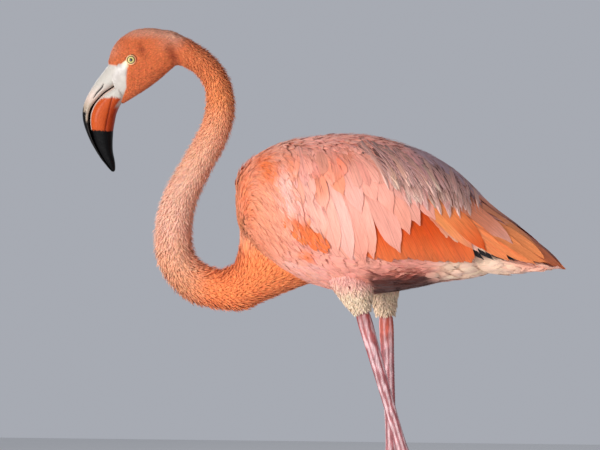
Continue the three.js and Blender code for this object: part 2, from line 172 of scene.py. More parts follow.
TRUNK = upright([
    [-107.5, 645, 628, 12], [-103, 673, 604, 40], [-90, 689, 584, 59], [-62, 705, 558, 75],
    [-19, 716, 540, 86], [35, 720, 528, 90], [73, 713.5, 528.5, 86], [110, 697, 535, 76],
    [147, 669, 543, 58], [178, 634, 547, 43], [197, 596, 554, 24],
])
WINGS = upright([
    [-96, 683, 593, 50], [-80, 698, 573, 72], [-44, 714, 550, 90], [0, 720.5, 534, 99],
    [45, 721.5, 527.5, 101], [85, 713, 530, 97.5], [123, 699, 538.5, 88], [160, 677, 545, 73],
    [203, 636, 549, 55], [240, 609, 553, 40], [277, 580, 556, 22], [299, 558, 556, 3],
])
TAIL = upright([
    [198.5, 594, 553, 36], [227, 581, 551.5, 31], [252, 571, 554.5, 25], [277, 563, 558.5, 17],
])
NECK_BASE = [
    [-98, 625, -12, 542, 46], [-103.5, 598, -33, 534, 42], [-106.5, 578, -56, 525, 36],
    [-110, 563.5, -79, 515.5, 31], [-118.5, 557, -106, 505.5, 26.5],
]
NECK = square_to([
    [-142, 532.5, 23.5, 20.5], [-166, 543.5, 22.8, 20], [-184, 567, 22, 19.5],
    [-188, 600, 21.5, 19.5], [-180, 640, 20, 18.5], [-159, 681.5, 17.8, 16.8],
    [-138, 720, 17.2, 16.2], [-129.5, 752, 16.5, 15.5], [-134, 783, 15, 14.5],
    [-152, 807.5, 14.8, 14.3], [-181, 823.3, 19, 16],
])[:-1]
HEAD = [
    [-182.5, 843, -181.5, 804.8, 16.5], [-200, 847, -191.5, 799, 18.5],
    [-219, 849, -206, 786.5, 20.5], [-237, 846, -222, 775, 21], [-253, 836.5, -235, 766.8, 20],
    [-262.5, 824, -243, 762, 18.2], [-268, 806, -250.5, 757.5, 16.3],
]
HEAD_STARTS = len(NECK_BASE) + len(NECK)
HEAD_ENDS = HEAD_STARTS + len(HEAD) - 1
NECK_POWER, BODY_POWER, TAIL_POWER = 2.05, 2.15, 2.4
BODY_WAIST = 0.52

# Swellings and hollows of the head: middle x and z, how far they stand out, and their reach in x
# and z: cheek, hollow behind the jaw, furrow over the ear, brow, and the dip before the eye.
HEAD_RELIEF = [
    (-209, 799, 1.6, 13, 11), (-188, 812, -2.2, 6, 10), (-226, 824, -1.3, 4, 7),
    (-237, 824, 0.9, 7, 3.5), (-249, 806, -0.8, 6, 5),
]


def patch(x, z, mid_x, mid_z, reach_x, reach_z):
    """1 in the middle of a soft oval patch, 0 outside: exp(-a^2 - b^2), where a and b are the
    distances from its middle in x and z over its reach there."""
    return np.exp(-(((x - mid_x) / reach_x) ** 2) - ((z - mid_z) / reach_z) ** 2)


def head_relief(point):
    """Sum of soft bells over the side view, standing out where positive."""
    x, z = point[..., 0], point[..., 2]
    total = np.zeros_like(x)
    for mid_x, mid_z, height, reach_x, reach_z in HEAD_RELIEF:
        total += height * patch(x, z, mid_x, mid_z, reach_x, reach_z)
    return total[..., None]


plain_neck = tube(np.vstack([NECK_BASE, NECK, HEAD]), NECK_POWER)


def neck_and_head(s, t):
    """The tube of neck and head, with the head's relief added sideways."""
    point = plain_neck(s, t)
    side = np.zeros(point.shape)
    side[..., 1] = np.sin(t)
    return point + side * head_relief(point)


neck_and_head.last = HEAD_ENDS
trunk = tube(TRUNK, BODY_POWER, BODY_WAIST)
wings = tube(WINGS, BODY_POWER, BODY_WAIST)
tail = tube(TAIL, TAIL_POWER, BODY_WAIST)

# ---- markings ------------------------------------------------------------------------------
# Pale pink over the body, orange on head, lower neck and large wing feathers, cream under the
# tail and on the thighs. Skin and coat read the same markings, with painted shade in the head's
# hollows, over the rump and under the belly.


def colour(red, green, blue):
    """A screen colour, 0 to 255, as the linear values that a material takes."""
    value = np.array([red, green, blue]) / 255
    return np.where(value <= 0.04045, value / 12.92, ((value + 0.055) / 1.055) ** 2.4)


ORANGE = colour(240, 118, 62)
DEEP_ORANGE = colour(224, 78, 8)
HEAD_ORANGE = colour(208, 106, 60)
CROWN_PINK = colour(220, 156, 128)
# Dark red-brown: painted shade in the head's hollows and creases, and the flecks on the upper neck.
SHADE_AND_FLECK_RED = colour(132, 46, 20)
FOOT_ORANGE = colour(250, 140, 82)
# Heights down the neck, in mm, and its tone there.
NECK_HEIGHTS = np.array([836, 800, 762, 699, 662, 610, 560, 530])
NECK_TONES = [(210, 116, 70), (220, 122, 72), (246, 152, 94), (250, 186, 152)]
NECK_TONES += [(248, 192, 164), (246, 190, 164), (236, 170, 134), (230, 152, 110)]
NECK_TONES = np.array([colour(*tone) for tone in NECK_TONES])
PEACH = colour(236, 148, 114)
PINK = colour(246, 164, 144)
PALE_PINK = colour(246, 196, 186)
# Greyer lilac: painted sky-lit shade on the rear slope of the back.
SKY_SHADE_LILAC = colour(186, 146, 152)
CREAM = colour(248, 206, 178)
THIGH_CREAM = colour(240, 212, 182)
FLANK_RED = colour(206, 104, 82)
STROKE_RED = colour(122, 38, 30)
# Dark brown of the belly's underside: partly its plumage, partly painted shade.
BELLY_BROWN_AND_SHADE = colour(70, 22, 14)
BREAST_ORANGE = colour(214, 128, 86)


def ramp(value, low, high):
    """0 below low, 1 above high, smooth between. Low may be the larger."""
    f = np.clip((value - low) / (high - low), 0, 1)
    return f * f * (3 - 2 * f)


def mix(a, b, share):
    share = np.asarray(share)[..., None]
    return a * (1 - share) + b * share


def painted(shade, *coats):
    """Lays colours over a shade one after another, each by its share."""
    for tone, share in coats:
        shade = mix(shade, tone, share)
    return shade


def soft_noise(x, y, z, reach, seed):
    """A smooth random field: a few dozen waves of about that reach, from -1 to 1."""
    rng = np.random.default_rng(seed)
    total = np.zeros(np.broadcast(x, y, z).shape)
    for _ in range(24):
        a, b, c = rng.normal(0, 2 * np.pi / reach / 1.7, 3)
        total += np.sin(a * x + b * y + c * z + rng.uniform(0, 2 * np.pi))
    return np.clip(total / 5, -1, 1)


def head_markings_and_shade(point):
    """Orange head, pinker over the crown and nape, with painted shade in dark red-brown in the hollow
    behind the jaw, in the groove above the eye and along the throat."""
    x, z = point[..., 0], point[..., 2]
    nape, forehead = patch(x, z, -186, 838, 16, 12), patch(x, z, -262, 826, 9, 12)
    pink = ramp(z, 834, 846) * 0.8 + 0.7 * nape + 0.5 * forehead
    shade = mix(HEAD_ORANGE, CROWN_PINK, np.clip(pink, 0, 1))
    # Painted shade: darker in the hollow behind the jaw, the groove above the eye and along the
    # throat.
    hollow = patch(x + 0.35 * (z - 818), z, -186, 818, 6, 16)
    groove = patch(x + 0.3 * (z - 824), z, -224, 824, 4, 10)
    throat = ramp(z + 0.62 * (x + 248), 752, 744)
    painted_shade = 0.8 * hollow + 0.65 * groove + 0.55 * throat * ramp(x, -250, -244)
    return mix(shade, SHADE_AND_FLECK_RED, np.clip(painted_shade, 0, 0.8))


def neck_markings(point):
    """Tone by height down the neck, then by distance along its bend, to the foot's clear orange."""
    x, z = point[..., 0], point[..., 2]
    shade = np.stack([np.interp(-z, -NECK_HEIGHTS, channel) for channel in NECK_TONES.T], -1)
    flecks = ramp(soft_noise(x, point[..., 1], z, 7, 21), 0.55, 0.95) * ramp(z, 690, 760)
    foot = ramp(x, -172, -128) * ramp(z, 640, 560)
    return painted(shade, (FOOT_ORANGE, foot), (SHADE_AND_FLECK_RED, 0.35 * flecks))


# Back edge of the neck's orange over the breast, from the belly up: z and x.
BREAST_BORDER = np.array([[530, -22], [537, -31], [565, -62], [601, -87], [640, -101], [677, -99]])
# Streaks of the body's plumage in the side view: middle x and z, half length and half width in mm,
# slope below the horizontal in degrees, and strength.
ORANGE_STREAKS = [
    [-64, 684, 22, 13, 50, 1.0], [-29, 682, 19, 6, 62, 0.5], [9, 661, 18, 7, 62, 0.5],
    [26, 676, 29, 8, 66, 0.75], [38, 700, 9, 6, 60, 0.7], [101, 626, 15, 6, 58, 0.6],
    [-13, 608, 28, 6.5, 32, 1.0], [-10, 575, 8, 4, 30, 0.9], [-88, 645, 34, 9, 84, 0.7],
]
WRIST_STREAK = ORANGE_STREAKS[6:7]
PALE_STREAKS = [
    [-34, 651, 36, 8, 72, 0.6], [-6, 640, 42, 8, 70, 0.7], [22, 628, 34, 7, 68, 0.25],
    [46, 640, 48, 9, 64, 0.5], [68, 632, 50, 9, 62, 0.35], [94, 640, 40, 8, 60, 0.3],
    [120, 640, 30, 7, 58, 0.5], [-20, 560, 30, 8, 12, 0.4],
]


def streaks(x, z, rows):
    """Strongest of several long soft patches: exp(-(a/A)^4 - (b/B)^2) of the distances a along
    and b across each one's slope."""
    strongest = np.zeros(np.shape(x))
    for mid_x, mid_z, long, wide, slope, strength in rows:
        c, s = np.cos(np.radians(slope)), np.sin(np.radians(slope))
        along, across = (x - mid_x) * c - (z - mid_z) * s, (x - mid_x) * s + (z - mid_z) * c
        here = strength * np.exp(-((along / long) ** 4) - (across / wide) ** 2)
        strongest = np.maximum(strongest, here)
    return strongest


def body_markings_and_shade(point):
    """Peach shoulder that turns pinker rearwards, with pale and orange streaks, the neck's orange
    on the breast, a greyer lilac of painted sky-lit shade over the rump, a redder flank, a dark
    brown under the belly that is partly plumage and partly painted shade, and cream under the tail."""
    x, y, z = np.moveaxis(point, -1, 0)
    border = np.interp(z, *BREAST_BORDER.T)
    strokes = ramp(soft_noise(x * 0.25, y * 0.3, z, 5, 17), -0.15, 0.35)
    return painted(
        PEACH,
        (PINK, ramp(x, -75, 10)),
        (PALE_PINK, streaks(x, z, PALE_STREAKS)),
        (ORANGE, streaks(x, z, ORANGE_STREAKS)),
        (BREAST_ORANGE, ramp(x, border + 5, border - 4) * ramp(z, 694, 676)),
        # Painted shade: greyer lilac of sky-lit shade over the rear slope of the back.
        (SKY_SHADE_LILAC, 0.85 * ramp(x, 80, 135) * ramp(z, 640, 668)),
        (FLANK_RED, 0.9 * patch(x, z, 104, 551, 46, 8)),
        (STROKE_RED, 0.85 * strokes * patch(x, z, 104, 553, 66, 11)),
        # Darker towards the bottom of the rear belly: partly brown plumage, partly painted shade on
        # the underside.
        (BELLY_BROWN_AND_SHADE, 0.95 * ramp(z, 558, 546) * ramp(x, 50, 70) * ramp(x, 158, 128)),
        (CREAM, ramp(x, 125, 165) * ramp(z, 600, 575) * ramp(z, 540, 550)),
    )


# Where the feathers of the face end: from the forehead over the eye, as x and z, and from the chin
# up behind the bill, as z and x.
BARE_ABOVE = np.array([[-285, 806], [-265.5, 805.2], [-255.6, 804], [-248.2, 807.6], [-240, 812]])
BARE_BEHIND = [[740, -262], [757.6, -254.4], [766.2, -248.3], [777, -243.3]]
BARE_BEHIND = np.array(BARE_BEHIND + [[787, -243.3], [799, -242.1], [812, -238]])


def bareness(point):
    """1 on the bare skin before the eye, 0 under feathers, with a soft edge."""
    x, z = point[..., 0], point[..., 2]
    below = np.interp(x, *BARE_ABOVE.T) - z
    ahead = np.interp(z, *BARE_BEHIND.T) - x
    return ramp(np.minimum(below, ahead), -1.0, 0.6)

# ---- skin ----------------------------------------------------------------------------------
# One closed skin over trunk, folded wings, tail, neck, head, legs and webbed feet. It is bare on
# the face before the eye, on the eyelids and below the thighs, and feathered elsewhere.

COAT_DEPTH = {"trunk": 4.4, "wing": 7, "tail": 4.4}
BARE_DEPTH = 0.3
NECK_BULGE = 0.1
EYE = {"x": -236.5, "z": 811.3, "radius": 7.5, "out": 2.6}
NECK_DEPTH_AT = [0, 4, 9, HEAD_STARTS - 1, HEAD_STARTS + 2, HEAD_ENDS - 1.4, HEAD_ENDS]
NECK_DEPTH = (NECK_DEPTH_AT, [4.4, 3.6, 3.0, 2.4, 1.7, 1.2, 0.15])
WING_FLESH_ENDS = (1.0, 8.0)
WING_FLESH_BOTTOM = 588


def full_turn(count):
    """Evenly spaced angles round a full turn."""
    return np.linspace(0, 2 * np.pi, count, endpoint=False)


def crossed(first, second):
    """Two grids of numbers: the first list down the rows and the second along them."""
    return np.meshgrid(first, second, indexing="ij")


def ring_quads(rings, around, joins):
    """Faces between so many rings of points, each with the next one, the last with the first."""
    ring, step = crossed(np.arange(joins), np.arange(around))
    near, far, after = ring * around, ((ring + 1) % rings) * around, (step + 1) % around
    return np.stack([near + step, near + after, far + after, far + step], -1).reshape(-1, 4)


def closed_tube(points):
    """Faces that join a grid of rings into a closed tube, with a fan of faces over each end."""
    rings, around = points.shape[:2]
    quads = ring_quads(rings, around, rings - 1)
    flat = points.reshape(-1, 3)
    count = len(flat)
    ends = np.stack([points[0].mean(0), points[-1].mean(0)])
    first = np.arange(around)
    second = (first + 1) % around
    last = (rings - 1) * around
    fans = [
        np.stack([np.full(around, count), second, first], -1),
        np.stack([np.full(around, count + 1), last + first, last + second], -1),
    ]
    return np.vstack([flat, ends]), [quads, np.vstack(fans)]


def outwards(points, faces):
    """Turns the faces round where they enclose a negative volume."""
    volume = 0
    for group in faces:
        for k in range(1, group.shape[1] - 1):
            a, b, c = (points[group[:, i]] for i in (0, k, k + 1))
            volume += dot(a, np.cross(b, c)).sum()
    return faces if volume > 0 else [group[:, ::-1] for group in faces]


def make_mesh(name, points, faces):
    """A smooth mesh from points in mm and arrays of faces, written in one go."""
    mesh = bpy.data.meshes.new(name)
    sizes = np.concatenate([np.full(len(group), group.shape[1]) for group in faces])
    corners = np.concatenate([group.ravel() for group in faces])
    mesh.vertices.add(len(points))
    mesh.vertices.foreach_set("co", (points * MM).astype(np.float32).ravel())
    mesh.loops.add(len(corners))
    mesh.loops.foreach_set("vertex_index", corners.astype(np.int32))
    mesh.polygons.add(len(sizes))
    mesh.polygons.foreach_set("loop_start", (np.cumsum(sizes) - sizes).astype(np.int32))
    mesh.update(calc_edges=True)
    mesh.validate()
    mesh.polygons.foreach_set("use_smooth", np.ones(len(sizes), bool))
    return mesh


def tube_mesh(name, points):
    """A closed tube of points as a mesh that faces outwards, and its points as one list."""
    flat, faces = closed_tube(points)
    return make_mesh(name, flat, outwards(flat, faces)), flat


def grid(surface, s_values, around, depth):
    """Rings of the surface, moved inwards by the depth at each place along it."""
    point, _, _, normal = tangents(surface, *crossed(s_values, full_turn(around)))
    return point - normal * np.broadcast_to(depth, s_values.shape)[:, None, None]


def rounded_ends(points, bulge=0.35):
    """Adds small rings past each end, so that a tube closes in a rounded cap: each ring has a share
    of the end's width and lies at a share of the bulge."""
    caps = []
    for ring, inner in ((points[0], points[1]), (points[-1], points[-2])):
        middle = ring.mean(0)
        away = unit(middle - inner.mean(0)) * np.linalg.norm(ring - middle, axis=1).min()
        shares = ((0.9, 0.45), (0.6, 0.8), (0.25, 0.97))
        caps.append([middle + (ring - middle) * wide + away * bulge * rise for wide, rise in shares])
    return np.concatenate([caps[0][::-1], points, caps[1]])


s_neck = np.linspace(0, HEAD_ENDS, 300)
inner_neck = grid(neck_and_head, s_neck, 72, np.interp(s_neck, *NECK_DEPTH))
# The bare face stands level with the outside of the feathers around it.
bare = bareness(inner_neck)[..., None]
outer_neck = neck_and_head(*crossed(s_neck, full_turn(72)))
inner_neck = inner_neck * (1 - bare) + (inner_neck * 0.2 + outer_neck * 0.8) * bare

s_trunk = np.linspace(0, trunk.last, 90)
s_tail = np.linspace(0, tail.last - 0.3, 20)
wing_flesh = grid(wings, np.linspace(*WING_FLESH_ENDS, 60), 80, COAT_DEPTH["wing"])
wing_flesh[..., 2] = np.maximum(wing_flesh[..., 2], WING_FLESH_BOTTOM)
flesh = [
    rounded_ends(grid(trunk, s_trunk, 90, COAT_DEPTH["trunk"])),
    rounded_ends(inner_neck, NECK_BULGE),
    rounded_ends(wing_flesh),
    rounded_ends(grid(tail, s_tail, 40, COAT_DEPTH["tail"])),
]

# Legs: thigh sections as x, z, half depth and half width, the x and z of ankle and foot, and the
# turn of the foot in degrees. The bare leg's sections have their share of the way from knee to
# ankle or from ankle to foot, then half depth and half width. The toes have their length, half
# width and angle.
LEG_APART = 40
LEGS = {
    "left": {
        "thigh": [[32, 566, 34, 24], [40, 540, 25, 20], [45.5, 523, 18.5, 16]]
        + [[49.5, 510, 12, 11], [52, 501, 8.6, 7.6]],
        "ankle": (105, 321),
        "foot": (80, 15),
        "turn": 6,
    },
    "right": {
        "thigh": [[64, 566, 30, 24], [66, 540, 22, 20], [67.5, 516, 15.5, 14.5]]
        + [[68.5, 502, 12.5, 11.5], [69.5, 490, 8.6, 7.6]],
        "ankle": (77, 316),
        "foot": (60, 15),
        "turn": -4,
    },
}
THIGH_DEPTH = ([0, 3, 4], [6, 4.5, 2.6])
SHANK = [(0.2, 8.4, 6), (0.45, 7.4, 5.5), (0.7, 6.8, 5.2), (0.87, 7.2, 5.6), (0.95, 9.6, 7.4)]
TARSUS = [(0.035, 9.6, 7.6), (0.075, 7.2, 5.4), (0.2, 6.5, 4.7), (0.45, 6.1, 4.6)]
TARSUS += [(0.7, 5.7, 4.6), (0.9, 5.9, 4.9), (0.97, 7, 6.2), (1.0, 7.4, 6.8)]
HEEL = [[-9, 9, 0.3, 6.5], [-4, 14, 0.02, 8.5], [3, 16, 0.02, 8.5], [9, 12, 0.3, 6]]
TOES = {"inner": (66, 4.4, -27), "middle": (84, 5, 2), "outer": (74, 4.4, 31)}
TOE_DEEP = 4.2
TOE_LIFTS, WEB_LIFTS = (0.04, 0.0, 0.07), (0.24, 0.31)
HIND_TOE = {"length": 17, "half": 3.1, "x": 6, "z": 9.5, "droop": np.radians(12), "turn": 12}
LEG_RINGS, LEG_AROUND = 480, 32


def leg_rows(knee, ankle, foot):
    """Bare leg from inside the thigh to the foot: x, z, half depth, half width."""
    knee, ankle, foot = (np.array(p, float) for p in (knee, ankle, foot))
    rows = [[*(knee - unit(ankle - knee) * 20), 5, 4.6], [*knee, 8.8, 6.2]]
    rows += [[*(knee + (ankle - knee) * share), deep, wide] for share, deep, wide in SHANK]
    rows.append([*ankle, 11.2, 9])
    return rows + [[*(ankle + (foot - ankle) * share), deep, wide] for share, deep, wide in TARSUS]


def bell(distance, reach):
    """1 at no distance, falling to 0 beyond the reach: exp(-(distance / reach)^2)."""
    return np.exp(-((distance / reach) ** 2))


def scutes(length, t, step=4.4):
    """Horny plates: shallow steps across the front and back, fine ones at the sides, and two long
    ridges, in mm of height. The sections' backs are at t = 0 and their fronts at t = pi."""
    front = ramp(-np.cos(t), 0.35, 0.8)
    rear = ramp(np.cos(t), 0.45, 0.85)
    phase = (length / step) % 1
    plates = np.minimum(phase / 0.8, (1 - phase) / 0.2)
    ridge = bell(np.abs(np.sin(t)) - 0.72, 0.16)
    return 0.34 * plates * (front + 0.7 * rear) - 0.3 * ridge * (np.cos(t) < 0) + 0.12


def toe_points(length, half, lift, turn, place, rings=90, around=26):
    """A tapering toe with knuckle pads and plates on top, flat below, from the foot's middle."""
    share = np.linspace(0, 1, rings)[:, None]
    t = full_turn(around)[None]
    swell = 1 + 0.09 * np.cos(share * 5 * np.pi)
    taper = (1 - 0.42 * share) * swell * np.sqrt(np.clip((1.015 - share) / 0.06, 0.02, 1))
    deep = TOE_DEEP * taper
    plates = 0.22 * np.abs(np.sin(share * length / 2.6 * np.pi)) * np.clip(np.cos(t), 0, 1)
    side = signed_power(np.sin(t), 0.83) * half * taper
    up = signed_power(np.cos(t), 0.83) * deep + deep * 0.8 + plates - 0.25
    along = share * length * np.ones_like(t)
    return turned(along, side, np.maximum(up, lift), turn, place)


def direction(degrees):
    return np.array([np.cos(np.radians(degrees)), np.sin(np.radians(degrees))])


def turned(along, side, up, turn, place):
    """Turns a shape about the upright axis and sets it down at its place."""
    c, s = direction(turn)
    return np.stack([place[0] + along * c - side * s, place[1] + along * s + side * c, up], -1)


def web_points(toe_a, toe_b, place, lift, rings=34, across=26):
    """The sheet between two toes: spokes from the foot's middle to a hollow free edge. Each ring
    goes out along the upper side of a spoke and back along its underside."""
    (angle_a, length_a), (angle_b, length_b) = toe_a, toe_b
    bay = 0.66 * (length_a + length_b) / 2 * direction((angle_a + angle_b) / 2)
    corner_a, corner_b = (0.93 * length * direction(angle) for angle, length in (toe_a, toe_b))
    b = np.linspace(0, 1, rings)[:, None, None]
    edge = (1 - b) ** 2 * corner_a + 2 * b * (1 - b) * bay + b**2 * corner_b
    out = np.linspace(0.06, 1, across)
    a = np.concatenate([out, out[::-1]])[None, :, None]
    flat = edge * a
    sag = np.sin(np.pi * b[..., 0])
    rippled = 0.16 * np.sin(a[..., 0] * 26 + sag * 5) * sag
    top = 1.55 - 0.5 * sag * a[..., 0] + rippled - 0.35 * (a[..., 0] > 0.985)
    is_top = np.arange(2 * across)[None] < across
    z = np.where(is_top, top, lift)
    return np.stack([place[0] + flat[..., 0], place[1] + flat[..., 1], z], -1)


for side_name, side in SIDES:
    leg = LEGS[side_name]
    y = side * LEG_APART
    thigh = tube(square_to(leg["thigh"]), y=y)
    s_thigh = np.linspace(0, thigh.last, 40)
    flesh.append(rounded_ends(grid(thigh, s_thigh, 40, np.interp(s_thigh, *THIGH_DEPTH))))

    rows = square_to(leg_rows(leg["thigh"][-1][:2], leg["ankle"], leg["foot"]))
    s_leg = np.linspace(0, len(rows) - 1, LEG_RINGS)
    middle = smooth_rows(rows, s_leg)[:, :4].reshape(-1, 2, 2).mean(1)
    run = np.concatenate([[0], np.cumsum(np.linalg.norm(np.diff(middle, axis=0), axis=1))])
    even_run = np.linspace(0, run[-1], LEG_RINGS)
    ring = grid(tube(rows, 2.2, y=y), np.interp(even_run, run, s_leg), LEG_AROUND, BARE_DEPTH)
    outward = unit(ring - ring.mean(1, keepdims=True))
    plates = scutes(even_run[:, None], full_turn(LEG_AROUND)[None])
    flesh.append(ring + outward * plates[..., None])

    place = (leg["foot"][0], y)
    pad = tube(upright(HEEL), 2.3)(*crossed(np.linspace(0, 3, 16), full_turn(32)))
    flesh.append(turned(pad[..., 0], pad[..., 1], np.maximum(pad[..., 2], 0), 0, place))
    spokes = []
    for lift, (length, half, spread) in zip(TOE_LIFTS, TOES.values()):
        turn = 180 + leg["turn"] - side * spread
        flesh.append(toe_points(length, half, lift, turn, place))
        spokes.append((turn, length))
    flesh += [web_points(*spokes[k : k + 2], place, lift) for k, lift in enumerate(WEB_LIFTS)]
    hind = toe_points(HIND_TOE["length"], HIND_TOE["half"], 0.0, 0, (0, 0), 26, 18)
    along, across, up = np.moveaxis(hind, -1, 0)
    c, s = np.cos(HIND_TOE["droop"]), np.sin(HIND_TOE["droop"])
    along, up = HIND_TOE["x"] + along * c + up * s, HIND_TOE["z"] - along * s + up * c
    turn = leg["turn"] - side * HIND_TOE["turn"]
    flesh.append(turned(along, across, np.maximum(up, 0.1), turn, place))

# Eyelids: a raised ring round the eye's axis, which stands where the head's side is at the eye.
on_head = crossed(np.linspace(HEAD_STARTS, HEAD_ENDS, 400), np.linspace(0.2, 2.9, 200))
near_eye = neck_and_head(*on_head)
nearest = np.argmin(np.hypot(near_eye[..., 0] - EYE["x"], near_eye[..., 2] - EYE["z"]))
EYE_Y = near_eye.reshape(-1, 3)[nearest, 1] - EYE["radius"] + EYE["out"]


def lid_points(side, middle=5.5, half_wide=0.8, half_high=0.85, rings=72, around=16):
    """A ring of revolution round the eye's axis, oval in section, pinched a little at its corners."""
    a = full_turn(rings)[:, None]
    b = full_turn(around)[None]
    radius = middle * (1 + 0.06 * np.abs(np.cos(a)) ** 6) + half_wide * np.cos(b)
    folds = 0.08 * np.sin(a * 22) * np.cos(b)
    out = side * (EYE_Y + 5.0 + half_high * np.sin(b) + folds)
    return np.stack([EYE["x"] + radius * np.cos(a), out, EYE["z"] + radius * np.sin(a) * 0.97], -1)


def ring_mesh(name, points):
    """A grid closed both ways, as a mesh that faces outwards."""
    rings, around = points.shape[:2]
    flat = points.reshape(-1, 3)
    return make_mesh(name, flat, outwards(flat, [ring_quads(rings, around, rings)]))


parts = bpy.data.collections.new("parts_of_skin")
bpy.context.scene.collection.children.link(parts)
meshes = [tube_mesh("part_of_skin", points)[0] for points in flesh[1:]]
meshes += [ring_mesh("part_of_skin", lid_points(side)) for side in (-1, 1)]
for mesh in meshes:
    parts.objects.link(bpy.data.objects.new("part_of_skin", mesh))
skin = add_piece("skin", tube_mesh("part_of_skin", flesh[0])[0])
union = skin.modifiers.new("union", "BOOLEAN")
union.operand_type = "COLLECTION"
union.collection = parts
union.operation = "UNION"
union.solver = "EXACT"
union.use_self = True
joined = bpy.data.meshes.new_from_object(skin.evaluated_get(bpy.context.evaluated_depsgraph_get()))
skin.modifiers.clear()
skin.data = joined
skin.data.name = "skin"
for part in list(parts.objects):
    bpy.data.objects.remove(part)
bpy.data.collections.remove(parts)
skin.data.polygons.foreach_set("use_smooth", np.ones(len(skin.data.polygons), bool))

LEG_PINK = colour(174, 116, 122)
# Dark red of the knees, also painted shade in the grooves down the legs.
KNEE_RED_AND_GROOVE_SHADE = colour(138, 44, 40)
SHANK_ORANGE = colour(196, 78, 40)
# Painted highlight along the ridges down the legs.
LEG_RIDGE_HIGHLIGHT = colour(250, 222, 220)
FACE_WHITE = colour(184, 177, 167)
LORE_YELLOW = colour(206, 198, 150)
LID_CREAM = colour(226, 184, 136)


def points_of(mesh):
    flat = np.empty(len(mesh.vertices) * 3, np.float32)
    mesh.vertices.foreach_get("co", flat)
    return flat.reshape(-1, 3) / MM


def set_values(mesh, name, values):
    """Writes one number for each point, which a material reads by its name."""
    mesh.attributes.new(name, "FLOAT", "POINT").data.foreach_set("value", values.astype(np.float32))


def set_tint(mesh, shades):
    """Writes a colour for each point, which the materials read by the name tint."""
    layer = mesh.color_attributes.new("tint", "FLOAT_COLOR", "POINT")
    values = np.ones((len(shades), 4), np.float32)
    values[:, :3] = shades
    layer.data.foreach_set("color", values.ravel())


def skin_markings_and_light(point):
    """The coat's markings with their painted shade on feathered skin, and bare face, lids and legs in
    their own colours, with painted highlights and painted shade in lines down the legs.
    """
    x, y, z = point.T
    on_neck = ramp(x, -96, -106)
    to_eye = np.hypot(x - EYE["x"] + 3, z - EYE["z"] + 1)
    shade = painted(
        body_markings_and_shade(point),
        (neck_markings(point), on_neck),
        (head_markings_and_shade(point), ramp(z, 770, 790) * ramp(x, -150, -180) * on_neck),
        (
            mix(FACE_WHITE, LORE_YELLOW, np.exp(-((to_eye / 8.5) ** 4)) * 0.85),
            bareness(point) * ((x < -225) & (z > 740)),
        ),
    )
    lid = (np.hypot(x - EYE["x"], z - EYE["z"]) < 6.5) & (np.abs(y) > EYE_Y + 3.8)
    shade[lid] = mix(LID_CREAM, HEAD_ORANGE, 0.75 * ramp(x[lid], -236, -231))
    # Pale and dark lines run down the legs: painted highlights along the ridges and painted shade in
    # the grooves. The knees are red, the far one's orange further down.
    far = y > 0
    near_axis = np.interp(z, [15, 321, 501], [80, 105, 52])
    far_axis = np.interp(z, [15, 316, 490], [60, 77, 69.5])
    angle = np.arctan2(np.abs(y) - LEG_APART, x - np.where(y < 0, near_axis, far_axis))
    line = ramp(np.sin(6 * angle + 1.2 * soft_noise(x, y, z * 0.2, 9, 41)), -0.4, 0.6)
    knee = np.where(far, 0.45, 0.7) * ramp(z, 480, 503) * (1 - 0.4 * line)
    leg_shade = painted(
        LEG_PINK,
        (LEG_RIDGE_HIGHLIGHT, 0.5 * line),
        (KNEE_RED_AND_GROOVE_SHADE, 0.6 * (1 - line) ** 2 * ramp(z, 240, 400)),
        (SHANK_ORANGE, np.where(far, 0.75, 0.2) * ramp(z, 452, 486) * (1 - 0.45 * line)),
        (KNEE_RED_AND_GROOVE_SHADE, knee + 0.25 * patch(x, z, 92, 320, 30, 26)),
    )
    return mix(shade, leg_shade, ramp(z, 540, 520))


skin_points = points_of(skin.data)
height = skin_points[:, 2]
set_tint(skin.data, skin_markings_and_light(skin_points))
set_values(skin.data, "gloss", 0.2 + 0.8 * (bareness(skin_points) * (height > 740)))
set_values(skin.data, "leg", ramp(height, 520, 505))


def material_with(name, roughness, inputs={}):
    """A material coloured by tint, with other inputs of its shader by name; then the maker of its
    nodes, and the tint."""
    material = bpy.data.materials.new(name)
    material.use_nodes = True
    nodes, links = material.node_tree.nodes, material.node_tree.links
    shader = nodes["Principled BSDF"]

    def node(kind, *inputs, named={}, output=0, **settings):
        """Makes a node of the kind, or takes the shader, with its settings and with its inputs in
        order or by name: numbers, colours or the outputs of other nodes. Gives one output."""
        made = shader if kind == "Shader" else nodes.new("ShaderNode" + kind)
        for key, value in settings.items():
            setattr(made, key, value)
        for key, value in [*enumerate(inputs), *named.items()]:
            if isinstance(value, bpy.types.NodeSocket):
                links.new(value, made.inputs[key])
            else:
                made.inputs[key].default_value = value
        return made.outputs[output]

    tint = node("Attribute", attribute_name="tint")
    node("Shader", named={"Roughness": roughness, "Base Color": tint, **inputs})
    return material, node, tint


def math(node, operation, *inputs):
    return node("Math", *inputs, operation=operation)


def times(node, first, second, share=1.0):
    """Multiplies two colours, by the share."""
    factors = {0: share, 6: first, 7: second}
    return node("Mix", named=factors, output=2, data_type="RGBA", blend_type="MULTIPLY")


def bumps(node, height, strength, distance):
    """Feeds a height as fine bumps to the shader."""
    bump = node("Bump", named={"Strength": strength, "Distance": distance, "Height": height})
    node("Shader", named={"Normal": bump})


bare_look, node, tint = material_with("bare_skin", 0.5)
place = node("TexCoord", output="Object")
cloud = node("TexNoise", place, named={"Scale": 90})
darker = node("ValToRGB", cloud)
stops = darker.node.color_ramp.elements
stops[0].color, stops[0].position = (0.72, 0.66, 0.66, 1), 0.3
stops[1].color, stops[1].position = (1.08, 1.06, 1.06, 1), 0.62
shaded = times(node, tint, darker, 0.8)
